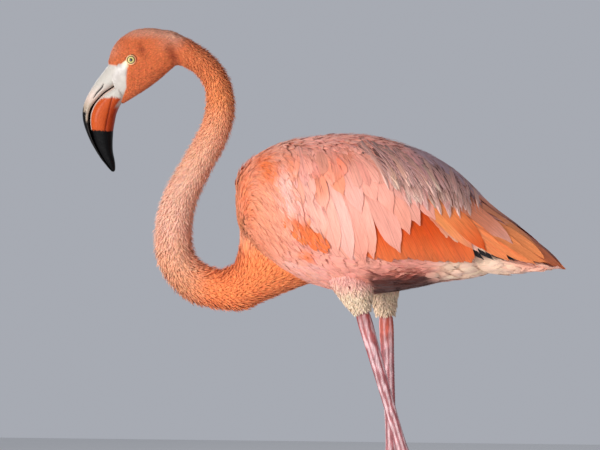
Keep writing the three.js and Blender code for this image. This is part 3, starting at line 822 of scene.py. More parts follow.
# Fine pale and dark speckle in lines down the legs.
stretched = node("Mapping", place, named={"Scale": (620, 620, 110)})
grain = node("TexNoise", stretched, named={"Scale": 1.0})
grain_tone = node("MapRange", grain, 0.3, 0.7, 0.7, 1.3)
leg_share = node("Attribute", attribute_name="leg", output="Fac")
glossy = node("Attribute", attribute_name="gloss", output="Fac")
node("Shader", named={
    "Base Color": times(node, shaded, grain_tone, leg_share),
    "Roughness": math(node, "MULTIPLY_ADD", glossy, -0.25, 0.6),
})
bumps(node, node("TexVoronoi", place, named={"Scale": 700}), 0.35, 0.0003)
skin.data.materials.clear()
skin.data.materials.append(bare_look)
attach(skin, "root")
flesh_nodes = ["trunk", "tail", "wing_left", "wing_right", "head"]
flesh_nodes += ["neck_base", "neck_lower", "neck_middle", "neck_upper", "neck_nape"]
for side_name in LEGS:
    flesh_nodes += [f"{part}_{side_name}" for part in ("thigh", "shank", "ankle", "tarsus", "foot")]
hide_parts(*flesh_nodes)

# ---- eyes ----------------------------------------------------------------------------------
# Glossy balls, each with a small black pupil, a pale yellow iris with fine spokes, and a dark
# rim where it meets the lids. They sit in the head so that only a low dome shows.

IRIS = colour(214, 202, 128)
IRIS_INNER = colour(150, 138, 62)
PUPIL = colour(16, 14, 8)
RIM = colour(70, 56, 20)

for side_name, side in SIDES:
    lean, turn = np.linspace(0, np.pi, 90)[:, None], full_turn(96)[None]
    radius = EYE["radius"] * (1 + 0.03 * bell(lean, 0.35))
    out = side * (EYE_Y + radius * np.cos(lean)) * np.ones_like(turn)
    level = radius * np.sin(lean)
    ball = np.stack([EYE["x"] + level * np.cos(turn), out, EYE["z"] + level * np.sin(turn)], -1)
    mesh, flat = tube_mesh("eye", ball)
    eye = add_piece(f"eye_{side_name}_ball", mesh)
    out = np.arccos(np.clip((side * flat[:, 1] - EYE_Y) / EYE["radius"], -1, 1))
    around = np.arctan2(flat[:, 2] - EYE["z"], flat[:, 0] - EYE["x"])
    spokes = 0.5 + 0.5 * np.sin(around * 31) * np.sin(around * 17 + 1)
    shade = painted(
        IRIS,
        (IRIS_INNER, 0.5 * spokes * ramp(out, 0.5, 0.2)),
        (IRIS_INNER, 0.8 * ramp(out, 0.3, 0.21)),
        (PUPIL, ramp(out, 0.215, 0.185)),
        (RIM, 0.9 * ramp(out, 0.48, 0.56)),
    )
    set_tint(eye.data, shade)
    glassy = {"Coat Weight": 0.25, "Coat Roughness": 0.12}
    eye.data.materials.append(material_with("eye", 0.25, glassy)[0])
    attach(eye, "root")
    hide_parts(f"eye_{side_name}")

# ---- bill ----------------------------------------------------------------------------------
# Two horny jaws, bent down in the middle: a shallow upper lid on a deep, bulging lower trough.
# Ivory at the base, orange on the lower jaw, black from the bend to the tip, with a slit nostril.
# Rows: culmen x and z, chin x and z, share of the way to the mouth line, half widths.

BILL = [
    [-263, 811, -246, 763, 0.55, 16, 16],
    [-267.5, 804.5, -252.5, 757, 0.54, 15.5, 16],
    [-285, 781.5, -258, 746, 0.38, 12.5, 15.5],
    [-297.5, 758.5, -260.3, 736, 0.28, 11.5, 15.5],
    [-299.5, 738, -262.7, 720, 0.25, 11.3, 14.5],
    [-291.5, 714, -263, 700.5, 0.23, 8.8, 11],
    [-279, 692, -260.3, 685.5, 0.24, 6, 7.5],
    [-268, 678, -260, 676, 0.38, 3.6, 4],
    [-264, 674, -261.8, 673.6, 0.45, 1.6, 1.6],
]
BILL_POWER = 2.3
UPPER_WAIST, LOWER_WAIST = 0.3, 0.62
MOUTH_GAP = 0.06
BASE_PINCH = 0.16
NOSTRIL = [(-272.4, 781.5), (-274.1, 777.1), (-280.9, 770.1), (-284.7, 764.1)]
FURROW = [(-260.9, 765.5), (-264.5, 751), (-267.5, 738), (-270, 724.6)]

IVORY = colour(184, 177, 167)
BLUSH = colour(216, 186, 172)
BILL_ORANGE = colour(182, 76, 30)
CHIN_RED = colour(140, 42, 18)
STREAK = colour(104, 26, 10)
BILL_BLACK = colour(9, 8, 9)
BEIGE = colour(150, 134, 112)
EDGE_GREY = colour(84, 78, 74)


def near_path(x, z, path):
    """Distance in the side view from each point to a broken line, and how far along it, 0 to 1."""
    best = np.full(x.shape, 1e9)
    along = np.zeros(x.shape)
    for k, (a, b) in enumerate(zip(path[:-1], path[1:])):
        a, run = np.array(a), np.array(b) - np.array(a)
        f = np.clip(((x - a[0]) * run[0] + (z - a[1]) * run[1]) / (run @ run), 0, 1)
        d = np.hypot(x - a[0] - f * run[0], z - a[1] - f * run[1])
        along = np.where(d < best, (k + f) / (len(path) - 1), along)
        best = np.minimum(best, d)
    return best, along


def jaw(is_upper):
    """One jaw from the culmen or chin to the mouth line, with its place across from 0 to 1."""
    s = np.concatenate([np.linspace(0, 7, 330), np.linspace(7, 8, 30)[1:]])
    rows = smooth_rows(BILL, s)
    top, chin, share = rows[:, 0:2], rows[:, 2:4], rows[:, 4:5]
    gap = MOUTH_GAP / 2 / np.linalg.norm(top - chin, axis=1, keepdims=True)
    if is_upper:
        start, end, half, waist = top, top + (chin - top) * (share - gap), rows[:, 5:6], UPPER_WAIST
    else:
        start, end, half, waist = top + (chin - top) * (share + gap), chin, rows[:, 6:7], LOWER_WAIST
    half = half * (1 - BASE_PINCH * ramp(s[:, None], 0.6, 0))
    grid_s, grid_t = crossed(np.arange(len(s), dtype=float), full_turn(168))
    surface = tube(np.hstack([start, end, half]), BILL_POWER, waist)
    point, _, _, normal = tangents(surface, grid_s, grid_t)
    c = np.cos(grid_t)
    up = signed_power(c, 2 / BILL_POWER) * np.where(c > 0, 1 - waist, waist)
    return point, normal, 1 - (waist + up), np.broadcast_to(s[:, None], grid_s.shape)


for is_upper in (True, False):
    point, normal, across, s = jaw(is_upper)
    x, y, z = np.moveaxis(point, -1, 0)
    grain = soft_noise(x, y, z, 5, 3) * 0.6 + soft_noise(x, y, z, 2, 4) * 0.4
    dent = 0.05 * soft_noise(x, y, z, 7, 5)
    rows = smooth_rows(BILL, s)
    deep = np.linalg.norm(rows[..., 0:2] - rows[..., 2:4], axis=-1)
    below_bend = ramp(z, 764, 744)
    under_face = ramp(x, -250.5, -254)
    if is_upper:
        from_mouth = (1 - across) * deep * rows[..., 4]
        slit, slit_share = near_path(x, z, NOSTRIL)
        open_wide = np.sin(np.pi * np.clip(slit_share, 0.02, 0.98)) * 0.6 + 0.3
        dent += 0.9 * bell(slit, 1.5) * ramp(z, 802, 796)
        crest = 758 - 14 * across + 5 * grain
        black = ramp(z, crest, crest - 7) * ramp(across, 0.66 + 0.1 * grain, 0.52)
        black = np.maximum(black, ramp(z, 742 + 5 * grain, 732))
        line = 0.6 + 0.9 * below_bend
        black = np.maximum(black, ramp(from_mouth, line + 0.5, line) * under_face)
        pale_line = bell(across - 0.72, 0.05) * ramp(z, 738, 726) * ramp(z, 680, 694)
        shade = painted(
            IVORY,
            (BLUSH, 0.7 * ramp(z, 786, 760) + 0.1 * grain),
            (BILL_BLACK, ramp(slit, open_wide + 0.55, open_wide - 0.25) * 0.95),
            (BEIGE, 0.75 * ramp(z, 768, 752)),
            (BILL_BLACK, black),
            (EDGE_GREY, 0.7 * pale_line),
        )
        dent += 0.35 * bell(across - 0.78, 0.05) * ramp(z, 765, 750)
    else:
        from_mouth = across * deep * (1 - rows[..., 4])
        edge_z = 766 - 0.012 * (x + 262) ** 2 + 1.2 * grain
        chin = 0.75 * ramp(across, 0.45, 0.95) + 0.25 * np.clip(grain, 0, 1)
        shade = mix(IVORY, mix(BILL_ORANGE, CHIN_RED, chin), ramp(z, edge_z + 1.5, edge_z - 3))
        shade = mix(BLUSH, shade, ramp(from_mouth, 1.6, 3.4 + 0.5 * grain))
        groove, _ = near_path(x, z, FURROW)
        dent += 0.8 * bell(groove, 1.3)
        tip = 724.5 - 0.06 * (x + 275) + 0.8 * grain
        line = 0.55 + 0.3 * below_bend
        black = ramp(z, tip + 1, tip - 1)
        black = np.maximum(black, ramp(from_mouth, line + 0.4, line) * under_face)
        shade = painted(
            shade,
            (STREAK, 0.85 * bell(groove, 0.9) * ramp(z, 770, 764)),
            (IVORY, 0.8 * ramp(across, 0.8, 0.92) * ramp(z, 750, 757)),
            (BILL_BLACK, black),
        )
    name = "bill_upper" if is_upper else "bill_lower"
    mesh, _ = tube_mesh(name, point - normal * dent[..., None])
    bill = add_piece(f"{name}_jaw", mesh)
    ends = np.stack([shade[0].mean(0), shade[-1].mean(0)])
    set_tint(bill.data, np.vstack([shade.reshape(-1, 3), ends]))
    look, node, _ = material_with(name, 0.42, {"Specular IOR Level": 0.1})
    fine = node("TexNoise", node("TexCoord", output="Object"), named={"Scale": 420, "Detail": 6})
    bumps(node, fine, 0.18, 0.0003)
    node("Shader", named={"Roughness": math(node, "MULTIPLY_ADD", fine, 0.3, 0.2)})
    bill.data.materials.append(look)
    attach(bill, "root")
    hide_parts(name)

# ---- claws ---------------------------------------------------------------------------------
# Short blunt horn hooks on the three front toes of each foot, level with the floor at their tips.
# Each grows out of the end of its toe and tapers and sinks towards its own tip.

CLAW_LENGTH, CLAW_WIDE, CLAW_DEEP, CLAW_RISE = 9, 2.4, 1.7, 2.2
CLAW_BROWN, CLAW_PALE = colour(38, 28, 26), colour(92, 66, 60)

for side_name, side in SIDES:
    leg = LEGS[side_name]
    place = (leg["foot"][0], side * LEG_APART)
    share, t = np.linspace(0, 1, 22)[:, None], full_turn(20)[None]
    taper = np.sqrt(1 - 0.985 * share**2) * (1 - 0.12 * share)
    across = CLAW_WIDE * taper * np.sin(t)
    up = np.maximum(CLAW_RISE * (1 - share**2) + CLAW_DEEP * taper * np.cos(t), 0.02)
    points, faces, first = [], [], 0
    for length, _, spread in TOES.values():
        along = length - 1.2 + share * (CLAW_LENGTH + 1.4) * np.ones_like(t)
        turn = 180 + leg["turn"] - side * spread
        flat, groups = closed_tube(turned(along, across, up, turn, place))
        points.append(flat)
        faces += [group + first for group in outwards(flat, groups)]
        first += len(flat)
    points = np.vstack(points)
    claws = add_piece(f"claws_{side_name}", make_mesh("claws", points, faces))
    set_tint(claws.data, mix(CLAW_BROWN, CLAW_PALE, 0.5 + 0.5 * soft_noise(*points.T, 3, 9)))
    claws.data.materials.append(material_with("claw", 0.32)[0])
    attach(claws, "root")
    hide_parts(*[f"claw_{side_name}_{toe}" for toe in TOES])

# ---- feathers of head and neck -------------------------------------------------------------
# Every feather is a thin closed blade: a path over the body, a width that changes along it, and a
# low arched section. Short velvet feathers clothe the head, and pointed ones the neck, in rings
# that all lie from the head towards the body, their tips standing a little clear.


def scatter(surface, s_range, gap, seed, t_range=(0, 2 * np.pi), loose=0.28):
    """Roots in staggered rings, a gap in mm apart, each jittered. gap is a number or a function of
    s, or a pair of them: between the rings, and within one."""
    rng = np.random.default_rng(seed)
    fine = np.linspace(*s_range, 700)
    rings = surface(fine[:, None], np.linspace(*t_range, 73)[None])
    run = np.linalg.norm(np.diff(rings, axis=0), axis=-1).mean(1)
    girth = np.linalg.norm(np.diff(rings, axis=1), axis=-1).sum(1)
    gaps = gap if isinstance(gap, tuple) else (gap, gap)
    ring_gap, root_gap = (np.broadcast_to(g(fine) if callable(g) else g, fine.shape) for g in gaps)
    count = np.concatenate([[0], np.cumsum(run * 2 / (ring_gap[1:] + ring_gap[:-1]))])
    at = np.interp(np.arange(0.5, count[-1]), count, fine)
    in_ring = np.maximum(np.interp(at, fine, girth / root_gap).astype(int), 3)
    s = np.repeat(at, in_ring)
    ring = np.repeat(np.arange(len(at)), in_ring)
    index = np.arange(len(s)) - np.repeat(np.cumsum(in_ring) - in_ring, in_ring)
    index = index + 0.5 * (ring % 2) + rng.uniform(-loose, loose, len(s)) + 0.25
    t = t_range[0] + (t_range[1] - t_range[0]) * index / np.repeat(in_ring, in_ring)
    step = np.interp(s, at, np.gradient(at)) if len(at) > 1 else 0
    return s + step * rng.uniform(-loose, loose, len(s)), t


def walk(surface, s, t, heading, length, shares, veer):
    """Follows the surface from each root, a share of the length at a time, the way that heading
    gives in space from point and slopes. veer turns each path by an angle."""
    s, t = s.copy(), t.copy()
    points, normals = [], []
    root = np.stack([t / (2 * np.pi) % 1, np.clip(s / surface.last, 0, 1)], -1)
    for k, share in enumerate(shares):
        point, along, around, normal = tangents(surface, s, t)
        points.append(point)
        normals.append(normal)
        if k + 1 == len(shares):
            break
        way = heading(point, along)
        way = unit(way - normal * dot(way, normal))
        way = way * np.cos(veer)[:, None] + np.cross(normal, way) * np.sin(veer)[:, None]
        step = length * (shares[k + 1] - share)
        aa, ab, bb = dot(along, along)[:, 0], dot(along, around)[:, 0], dot(around, around)[:, 0]
        wa, wb = dot(way, along)[:, 0], dot(way, around)[:, 0]
        scale = step / np.maximum(aa * bb - ab * ab, 1e-6)
        s += np.clip((wa * bb - wb * ab) * scale, -3, 3)
        t += np.clip((wb * aa - wa * ab) * scale, -1, 1)
    return np.stack(points, 1), np.stack(normals, 1), root


# Kinds of blades: shares of the length, the width there and the share of the rise to the tip's
# height; the section's places across; the rise of the middle over the edges in mm; the ragged
# share of the tip, its roundness, and the spread of the sideways tilts.
TUFT = {
    "shares": [0, 0.38, 0.74, 1],
    "widths": [0.8, 1, 0.62, 0.06],
    "rise": [0, 0.45, 0.78, 1],
    "across": [-1, 0, 1],
    "arch": 0.35,
    "fray": 0.0,
    "blunt": 0.0,
    "roll": 0.12,
}
SHORT_TUFT = dict(TUFT, shares=[0, 0.5, 1], widths=[0.85, 1, 0.12], rise=[0, 0.62, 1])
PATCH = 0.003


def blades(path, kind, length, half, height, seed, lean=0.0):
    """Builds closed blades round their paths. height is mm above the surface along each path, and
    lean the mean of the sideways tilts."""
    rng = np.random.default_rng(seed)
    points, normals, root = path
    n, rows = points.shape[:2]
    shares, across = np.array(kind["shares"]), np.array(kind["across"], float)
    columns = len(across)
    widths = np.asarray(kind["widths"]) * np.asarray(half).reshape(-1, 1)
    centre = points + normals * np.broadcast_to(height, (n, rows))[..., None]
    forward = unit(np.gradient(centre, axis=1))
    sideways = unit(np.cross(normals, forward))
    tilt = rng.normal(lean, kind["roll"], n)[:, None, None]
    over = unit(sideways + normals * tilt)
    widest = np.maximum(widths.max(1), 1e-6)[:, None, None]
    lift = (1 - across**2)[None, None] * (kind["arch"] * widths[..., None] / widest)
    spread = across * widths[..., None]
    made_points = centre[:, :, None] + over[:, :, None] * spread[..., None]
    made_points = made_points + normals[:, :, None] * lift[..., None]
    ragged = kind["fray"] * rng.uniform(0, 1, (n, columns)) * (np.abs(across) < 0.99)
    ragged = ragged + kind["blunt"] * across**2
    length = np.asarray(length).reshape(-1, 1)
    back = length[..., None] * ragged[:, None, :] * (shares**3)[None, :, None]
    made_points = made_points - forward[:, :, None] * back[..., None]

    k, j = crossed(np.arange(rows - 1), np.arange(columns))
    here, beside = (k * columns + j).ravel(), (k * columns + (j + 1) % columns).ravel()
    quads = np.stack([here, here + columns, beside + columns, beside], -1)
    fan = np.arange(1, columns - 1)
    root_cap = np.stack([np.zeros_like(fan), fan, fan + 1], -1)
    tip_cap = np.stack([np.zeros_like(fan), fan + 1, fan], -1) + (rows - 1) * columns
    starts = np.arange(n)[:, None, None] * rows * columns
    caps = np.vstack([root_cap, tip_cap])
    faces = [(quads + starts).reshape(-1, 4), (caps + starts).reshape(-1, 3)]

    size = (n, rows, columns)
    down_length = np.broadcast_to((shares * length)[..., None], size)
    own_patch = [np.broadcast_to(across * 0.5, size), np.broadcast_to(shares[:, None], size)]
    return {
        "points": made_points,
        "faces": faces,
        "vane": np.stack([spread, down_length], -1),
        "bake": np.stack(own_patch, -1) * PATCH + (root * 0.98 + 0.01)[:, None, None],
        "across": across,
        "shares": shares,
        "centres": points,
        "rng": rng,
    }


def tinted(made, markings, wild=0.06, root_shade=0.2, stray=2.5, edge=0.05, slope=0.0):
    """Colours blades along their length by the markings, each as from a place a little astray, so
    that borders are streaky, with painted shade darkening each root where it lies under other
    feathers, and each blade a little its own. edge lightens both edges, and slope one edge against
    the other."""
    centres, rng = made["centres"], made["rng"]
    n = len(centres)
    away = rng.normal(0, stray, (n, 1, 3))
    own = markings(centres + away) if callable(markings) else np.broadcast_to(markings, centres.shape)
    own = own * (1 + wild * rng.normal(0, 1, (n, 1, 1)))
    own = own * (1 + 0.4 * wild * rng.normal(0, 1, (n, 1, 3)))
    # Painted shade: each blade darker towards its root, under the feathers above it.
    own = own * (1 - root_shade * (1 - ramp(made["shares"], 0.0, 0.62)))[None, :, None]
    lighter = 1 + edge * (np.abs(made["across"]) ** 2 - 0.4) + slope * made["across"]
    made["tint"] = np.clip(own[:, :, None] * lighter[None, None, :, None], 0, 1)
    return made


def rising(low, stand, shares):
    """Heights along each blade: low at its root, then by the shares of the rise up to stand."""
    low = np.broadcast_to(low, stand.shape)[:, None]
    return low + (stand[:, None] - low) * np.asarray(shares)


def feathers(surface, s, t, heading, kind, length, veer, low, stand, half, seed, markings, *shading):
    """Blades that rise from their roots on a surface, tinted."""
    path = walk(surface, s, t, heading, length, kind["shares"], veer)
    height = rising(low, stand, kind["rise"])
    return tinted(blades(path, kind, length, half, height, seed), markings, *shading)


def feather_look(name, roughness, barb, strength, shaft_shade=1.0, streaky=0.08):
    """Barbs slant from the shaft across the vane, as fine bumps, with the shaft as a low ridge
    whose colour is the tint times shaft_shade."""
    sheen = {"Sheen Weight": 0.1, "Sheen Roughness": 0.5, "Specular IOR Level": 0.22}
    look, node, tint = material_with(name, roughness, sheen)
    vane = node("UVMap", uv_map="vane")
    across = node("SeparateXYZ", vane)
    down = across.node.outputs["Y"]
    beside = math(node, "ABSOLUTE", across)
    slant = math(node, "MULTIPLY_ADD", beside, -1.3, down)
    wave = math(node, "SINE", math(node, "MULTIPLY", slant, 2 * np.pi / barb))
    broken = math(node, "MULTIPLY", wave, node("TexNoise", vane, named={"Scale": 0.35}))
    shaft = node("MapRange", beside, 0.0, 0.45, 1.6, 0.0)
    bumps(node, math(node, "ADD", broken, shaft), strength, 0.00025)
    soft = node("MapRange", broken, -0.6, 0.6, 0.88, 1.06)
    line = node("MapRange", beside, 0.1, 0.45, shaft_shade, 1.0)
    # Lengthwise streaks, different on every feather, since its place in the unwrap shifts them.
    root = node("SeparateXYZ", node("UVMap", uv_map="OFBake"))
    shift = math(node, "MULTIPLY_ADD", root, 90, root.node.outputs["Y"])
    narrow, long = math(node, "MULTIPLY", across, 0.8), math(node, "MULTIPLY", down, 0.05)
    streak = node("TexNoise", node("CombineXYZ", narrow, long, shift), named={"Scale": 1.0})
    streak_tone = node("MapRange", streak, 0.3, 0.7, 1 - streaky, 1 + 0.6 * streaky)
    both = math(node, "MULTIPLY", soft, math(node, "MULTIPLY", line, streak_tone))
    node("Shader", named={"Base Color": times(node, tint, both)})
    return look


def set_uv(mesh, name, values):
    """Writes an unwrap: each face corner takes the value of its point."""
    corners = np.empty(len(mesh.loops), np.int32)
    mesh.loops.foreach_get("vertex_index", corners)
    layer = mesh.uv_layers.new(name=name)
    layer.data.foreach_set("uv", values[corners].astype(np.float32).ravel())


def add_coat(name, batches, look):
    """One joined mesh of batches of blades, with its tint and both unwraps."""
    sizes = [made["points"][..., 0].size for made in batches]
    starts = np.cumsum(sizes) - sizes
    faces = [group + start for made, start in zip(batches, starts) for group in made["faces"]]
    points, tints, bakes, vanes = (
        np.vstack([made[key].reshape(-1, wide) for made in batches])
        for key, wide in (("points", 3), ("tint", 3), ("bake", 2), ("vane", 2))
    )
    coat = add_piece(name, make_mesh(name, points, faces))
    coat.data.set_sharp_from_angle(angle=np.radians(50))
    set_tint(coat.data, tints)
    set_uv(coat.data, "OFBake", bakes)
    set_uv(coat.data, "vane", vanes)
    coat.data.materials.append(look)
    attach(coat, "root")


def towards_body(point, along):
    return -along


velvet = feather_look("head_feathers", 0.8, 0.6, 0.25)
rng = np.random.default_rng(11)
s, t = scatter(neck_and_head, (HEAD_STARTS - 0.6, HEAD_ENDS + 0.1), (1.25, 1.3), 12)
root = neck_and_head(s, t)
from_eye = np.hypot(root[..., 0] - EYE["x"], root[..., 2] - EYE["z"])
keep = (bareness(root) < 0.5) & (from_eye > 6.4)
s, t, root = s[keep], t[keep], root[keep]
n = len(s)
length = np.interp(s, [HEAD_STARTS - 0.6, HEAD_STARTS + 2, HEAD_ENDS], [6.0, 4.2, 3.2])
length = length * rng.uniform(0.8, 1.2, n)
veer = rng.normal(0, 0.16, n)
stand = rng.uniform(0.1, 1.0, n) + 0.3 * ramp(root[:, 2], 838, 846)
low = -np.interp(s, *NECK_DEPTH) - 0.2
half = rng.uniform(0.75, 1.05, n)
roots, marked = (neck_and_head, s, t, towards_body, SHORT_TUFT), (head_markings_and_shade, 0.1, 0.3, 0.8)
head_batch = feathers(*roots, length, veer, low, stand, half, 13, *marked)
add_coat("head_coat", [head_batch], velvet)

spiky = feather_look("neck_feathers", 0.78, 0.7, 0.3)
NECK_LENGTH = ([0, 3, 6, 9, 12, HEAD_STARTS], [18, 12, 8.6, 7.0, 6.4, 5.4])
NECK_LOOSE = ([0, 2, 4, 6, 12, HEAD_STARTS], [0.5, 0.9, 2.2, 3.0, 2.6, 1.7])
NECK_HALF = ([0, 3, 6, HEAD_STARTS], [2.1, 1.4, 1.0, 0.8])
NECK_GAP = ([0, 3, 6, HEAD_STARTS], [2.35, 1.86, 1.66, 1.42])
COLLAR = dict(TUFT, rise=[0, 0.4, 0.76, 1])
COLLAR_ROOT = -2.6


def neck_gap(s):
    return np.interp(s, *NECK_GAP)


for name, s_range, seed in (
    ("neck_coat_lower", (0.0, 6.4), 21),
    ("neck_coat_middle", (6.4, 10.6), 23),
    ("neck_coat_upper", (10.6, HEAD_STARTS - 0.2), 22),
):
    rng = np.random.default_rng(seed)
    s, t = scatter(neck_and_head, s_range, neck_gap, seed)
    n = len(s)
    length = np.interp(s, *NECK_LENGTH) * rng.uniform(0.8, 1.15, n)
    veer = rng.normal(0, 0.14, n)
    stand = rng.uniform(-0.1, 1, n) + 0.9 * (rng.uniform(0, 1, n) > 0.7)
    stand = np.interp(s, *NECK_LOOSE) * stand * (0.5 + 0.5 * np.abs(np.cos(t)))
    low = -np.interp(s, *NECK_DEPTH) - 0.3
    half = np.interp(s, *NECK_HALF)
    roots, marked = (neck_and_head, s, t, towards_body, TUFT), (neck_markings, 0.08, 0.06)
    batches = [feathers(*roots, length, veer, low, stand, half, seed, *marked)]
    if name == "neck_coat_lower":
        # A collar of longer feathers bridges the crease between the neck's top and the breast.
        s, t = scatter(neck_and_head, (0.4, 2.0), 2.3, 24, (-0.95, 0.95))
        n = len(s)
        length, veer = rng.uniform(17, 23, n), rng.normal(0, 0.14, n)
        stand = np.interp(s, [0.4, 1.2, 2.0], [6.5, 4.6, 1.4]) + rng.uniform(-0.8, 0.8, n)
        half = rng.uniform(1.8, 2.3, n)
        roots = (neck_and_head, s, t, towards_body, COLLAR)
        batches.append(feathers(*roots, length, veer, COLLAR_ROOT, stand, half, 25, *marked))
    add_coat(name, batches, spiky)

# ---- feathers of the trunk -----------------------------------------------------------------
# Soft contour feathers with ragged tips, and loose hair-like barbs between them. They rise from
# the foot of the neck over the breast, turn back over the shoulder and hang down its sides, and
# lie rearwards along the belly and flanks.

CONTOUR = {
    **TUFT,
    "shares": [0, 0.3, 0.6, 0.84, 1],
    "widths": [0.55, 0.96, 0.94, 0.62, 0.1],
    "rise": [0, 0.6, 0.87, 0.97, 1],
    "arch": 0.45,
    "fray": 0.12,
    "blunt": 0.1,
}
LONG_CONTOUR = {
    **CONTOUR,
    "shares": [0, 0.22, 0.42, 0.6, 0.76, 0.9, 1],
    "widths": [0.5, 0.84, 0.98, 1, 0.88, 0.6, 0.14],
    "rise": np.sqrt([0, 0.22, 0.42, 0.6, 0.76, 0.9, 1]),
    "across": [-1, -0.5, 0, 0.5, 1],
    "arch": 0.8,
    "blunt": 0.12,
}
FLANK = dict(LONG_CONTOUR, fray=0.16, roll=0.06)
PUFF = dict(LONG_CONTOUR, arch=1.3, fray=0.16, blunt=0.2)
STRAND = {
    **TUFT,
    "shares": [0, 0.45, 1],
    "widths": [0.8, 1, 0.2],
    "rise": [0, 0.75, 1],
    "arch": 0.15,
}

# Side outline of the folded wing, under which the trunk carries no feathers.
WING_OUTLINE = [[-90, 648], [-80, 671], [-60, 685], [40, 708], [75, 732], [180, 700]]
WING_OUTLINE += [[282, 588], [270, 571], [150, 576], [30, 578], [-15, 590], [-76, 625]]
WING_OUTLINE = np.array(WING_OUTLINE)


def inside_outline(x, z, outline):
    """True where a point of the side view lies inside a closed outline, by counting crossings."""
    inside = np.zeros(np.shape(x), bool)
    for (x1, z1), (x2, z2) in zip(outline, np.roll(outline, -1, axis=0)):
        crosses = (z1 > z) != (z2 > z)
        with np.errstate(divide="ignore", invalid="ignore"):
            inside ^= crosses & (x < (x2 - x1) * (z - z1) / (z2 - z1) + x1)
    return inside


def shrunk(outline, share):
    middle = outline.mean(0)
    return middle + (outline - middle) * share


STEEP_AT = [-106, -94, -76, -50, -10, 60, 110, 170, 200]
STEEP = (STEEP_AT, [-75, -40, 18, 46, 60, 60, 46, 24, 6])


def body_flow(point, along):
    """Up over the breast, back and down over the shoulder, then back along the flank."""
    x, y, z = np.moveaxis(point, -1, 0)
    steep = np.interp(x, *STEEP)
    low_share = np.maximum(ramp(z, 545, 610), 0.5 * ramp(x, 75, 20))
    steep = np.where(steep > 0, steep * low_share * ramp(z, 724, 706), steep * ramp(z, 705, 680))
    steep = np.radians(steep + 4)
    return np.stack([np.cos(steep), 0.25 * np.sign(y) * ramp(z, 690, 715), -np.sin(steep)], -1)


def strands_over(surface, s, t, length, rise, seed):
    """Single loose barbs of the body, thin and a little clear of the feathers."""
    rng = np.random.default_rng(seed)
    n = len(s)
    reach = length * rng.uniform(0.5, 0.95, n)
    s, t = s + rng.normal(0, 0.05, n), t + rng.normal(0, 0.04, n)
    veer, stand, half = rng.normal(0, 0.2, n), rng.uniform(*rise, n), rng.uniform(0.2, 0.42, n)
    roots, marked = (surface, s, t, body_flow, STRAND), (body_markings_and_shade, 0.12, 0.05, 4.0)
    return feathers(*roots, reach, veer, STRAND_ROOT, stand, half, seed, *marked)


soft = feather_look("body_feathers", 0.75, 0.9, 0.35)
BODY_LENGTH = ([-105, -70, -30, 60, 130, 190], [17, 21, 29, 34, 34, 34])
BODY_HALF = ([-105, -70, -30, 190], [2.0, 2.4, 3.5, 4.0])
BODY_GAP = ([-105, -70, -30, 190], [2.5, 3.3, 4.6, 5.0])
BODY_ROOT, FLANK_ROOT, STRAND_ROOT = -4.8, -3.4, -2
SIDE_STARTS = 1.75
trunk_row_s = np.linspace(0, trunk.last, 200)
trunk_row_x = smooth_rows(TRUNK, trunk_row_s)[:, 0]


def body_gap(s):
    return np.interp(np.interp(s, trunk_row_s, trunk_row_x), *BODY_GAP)


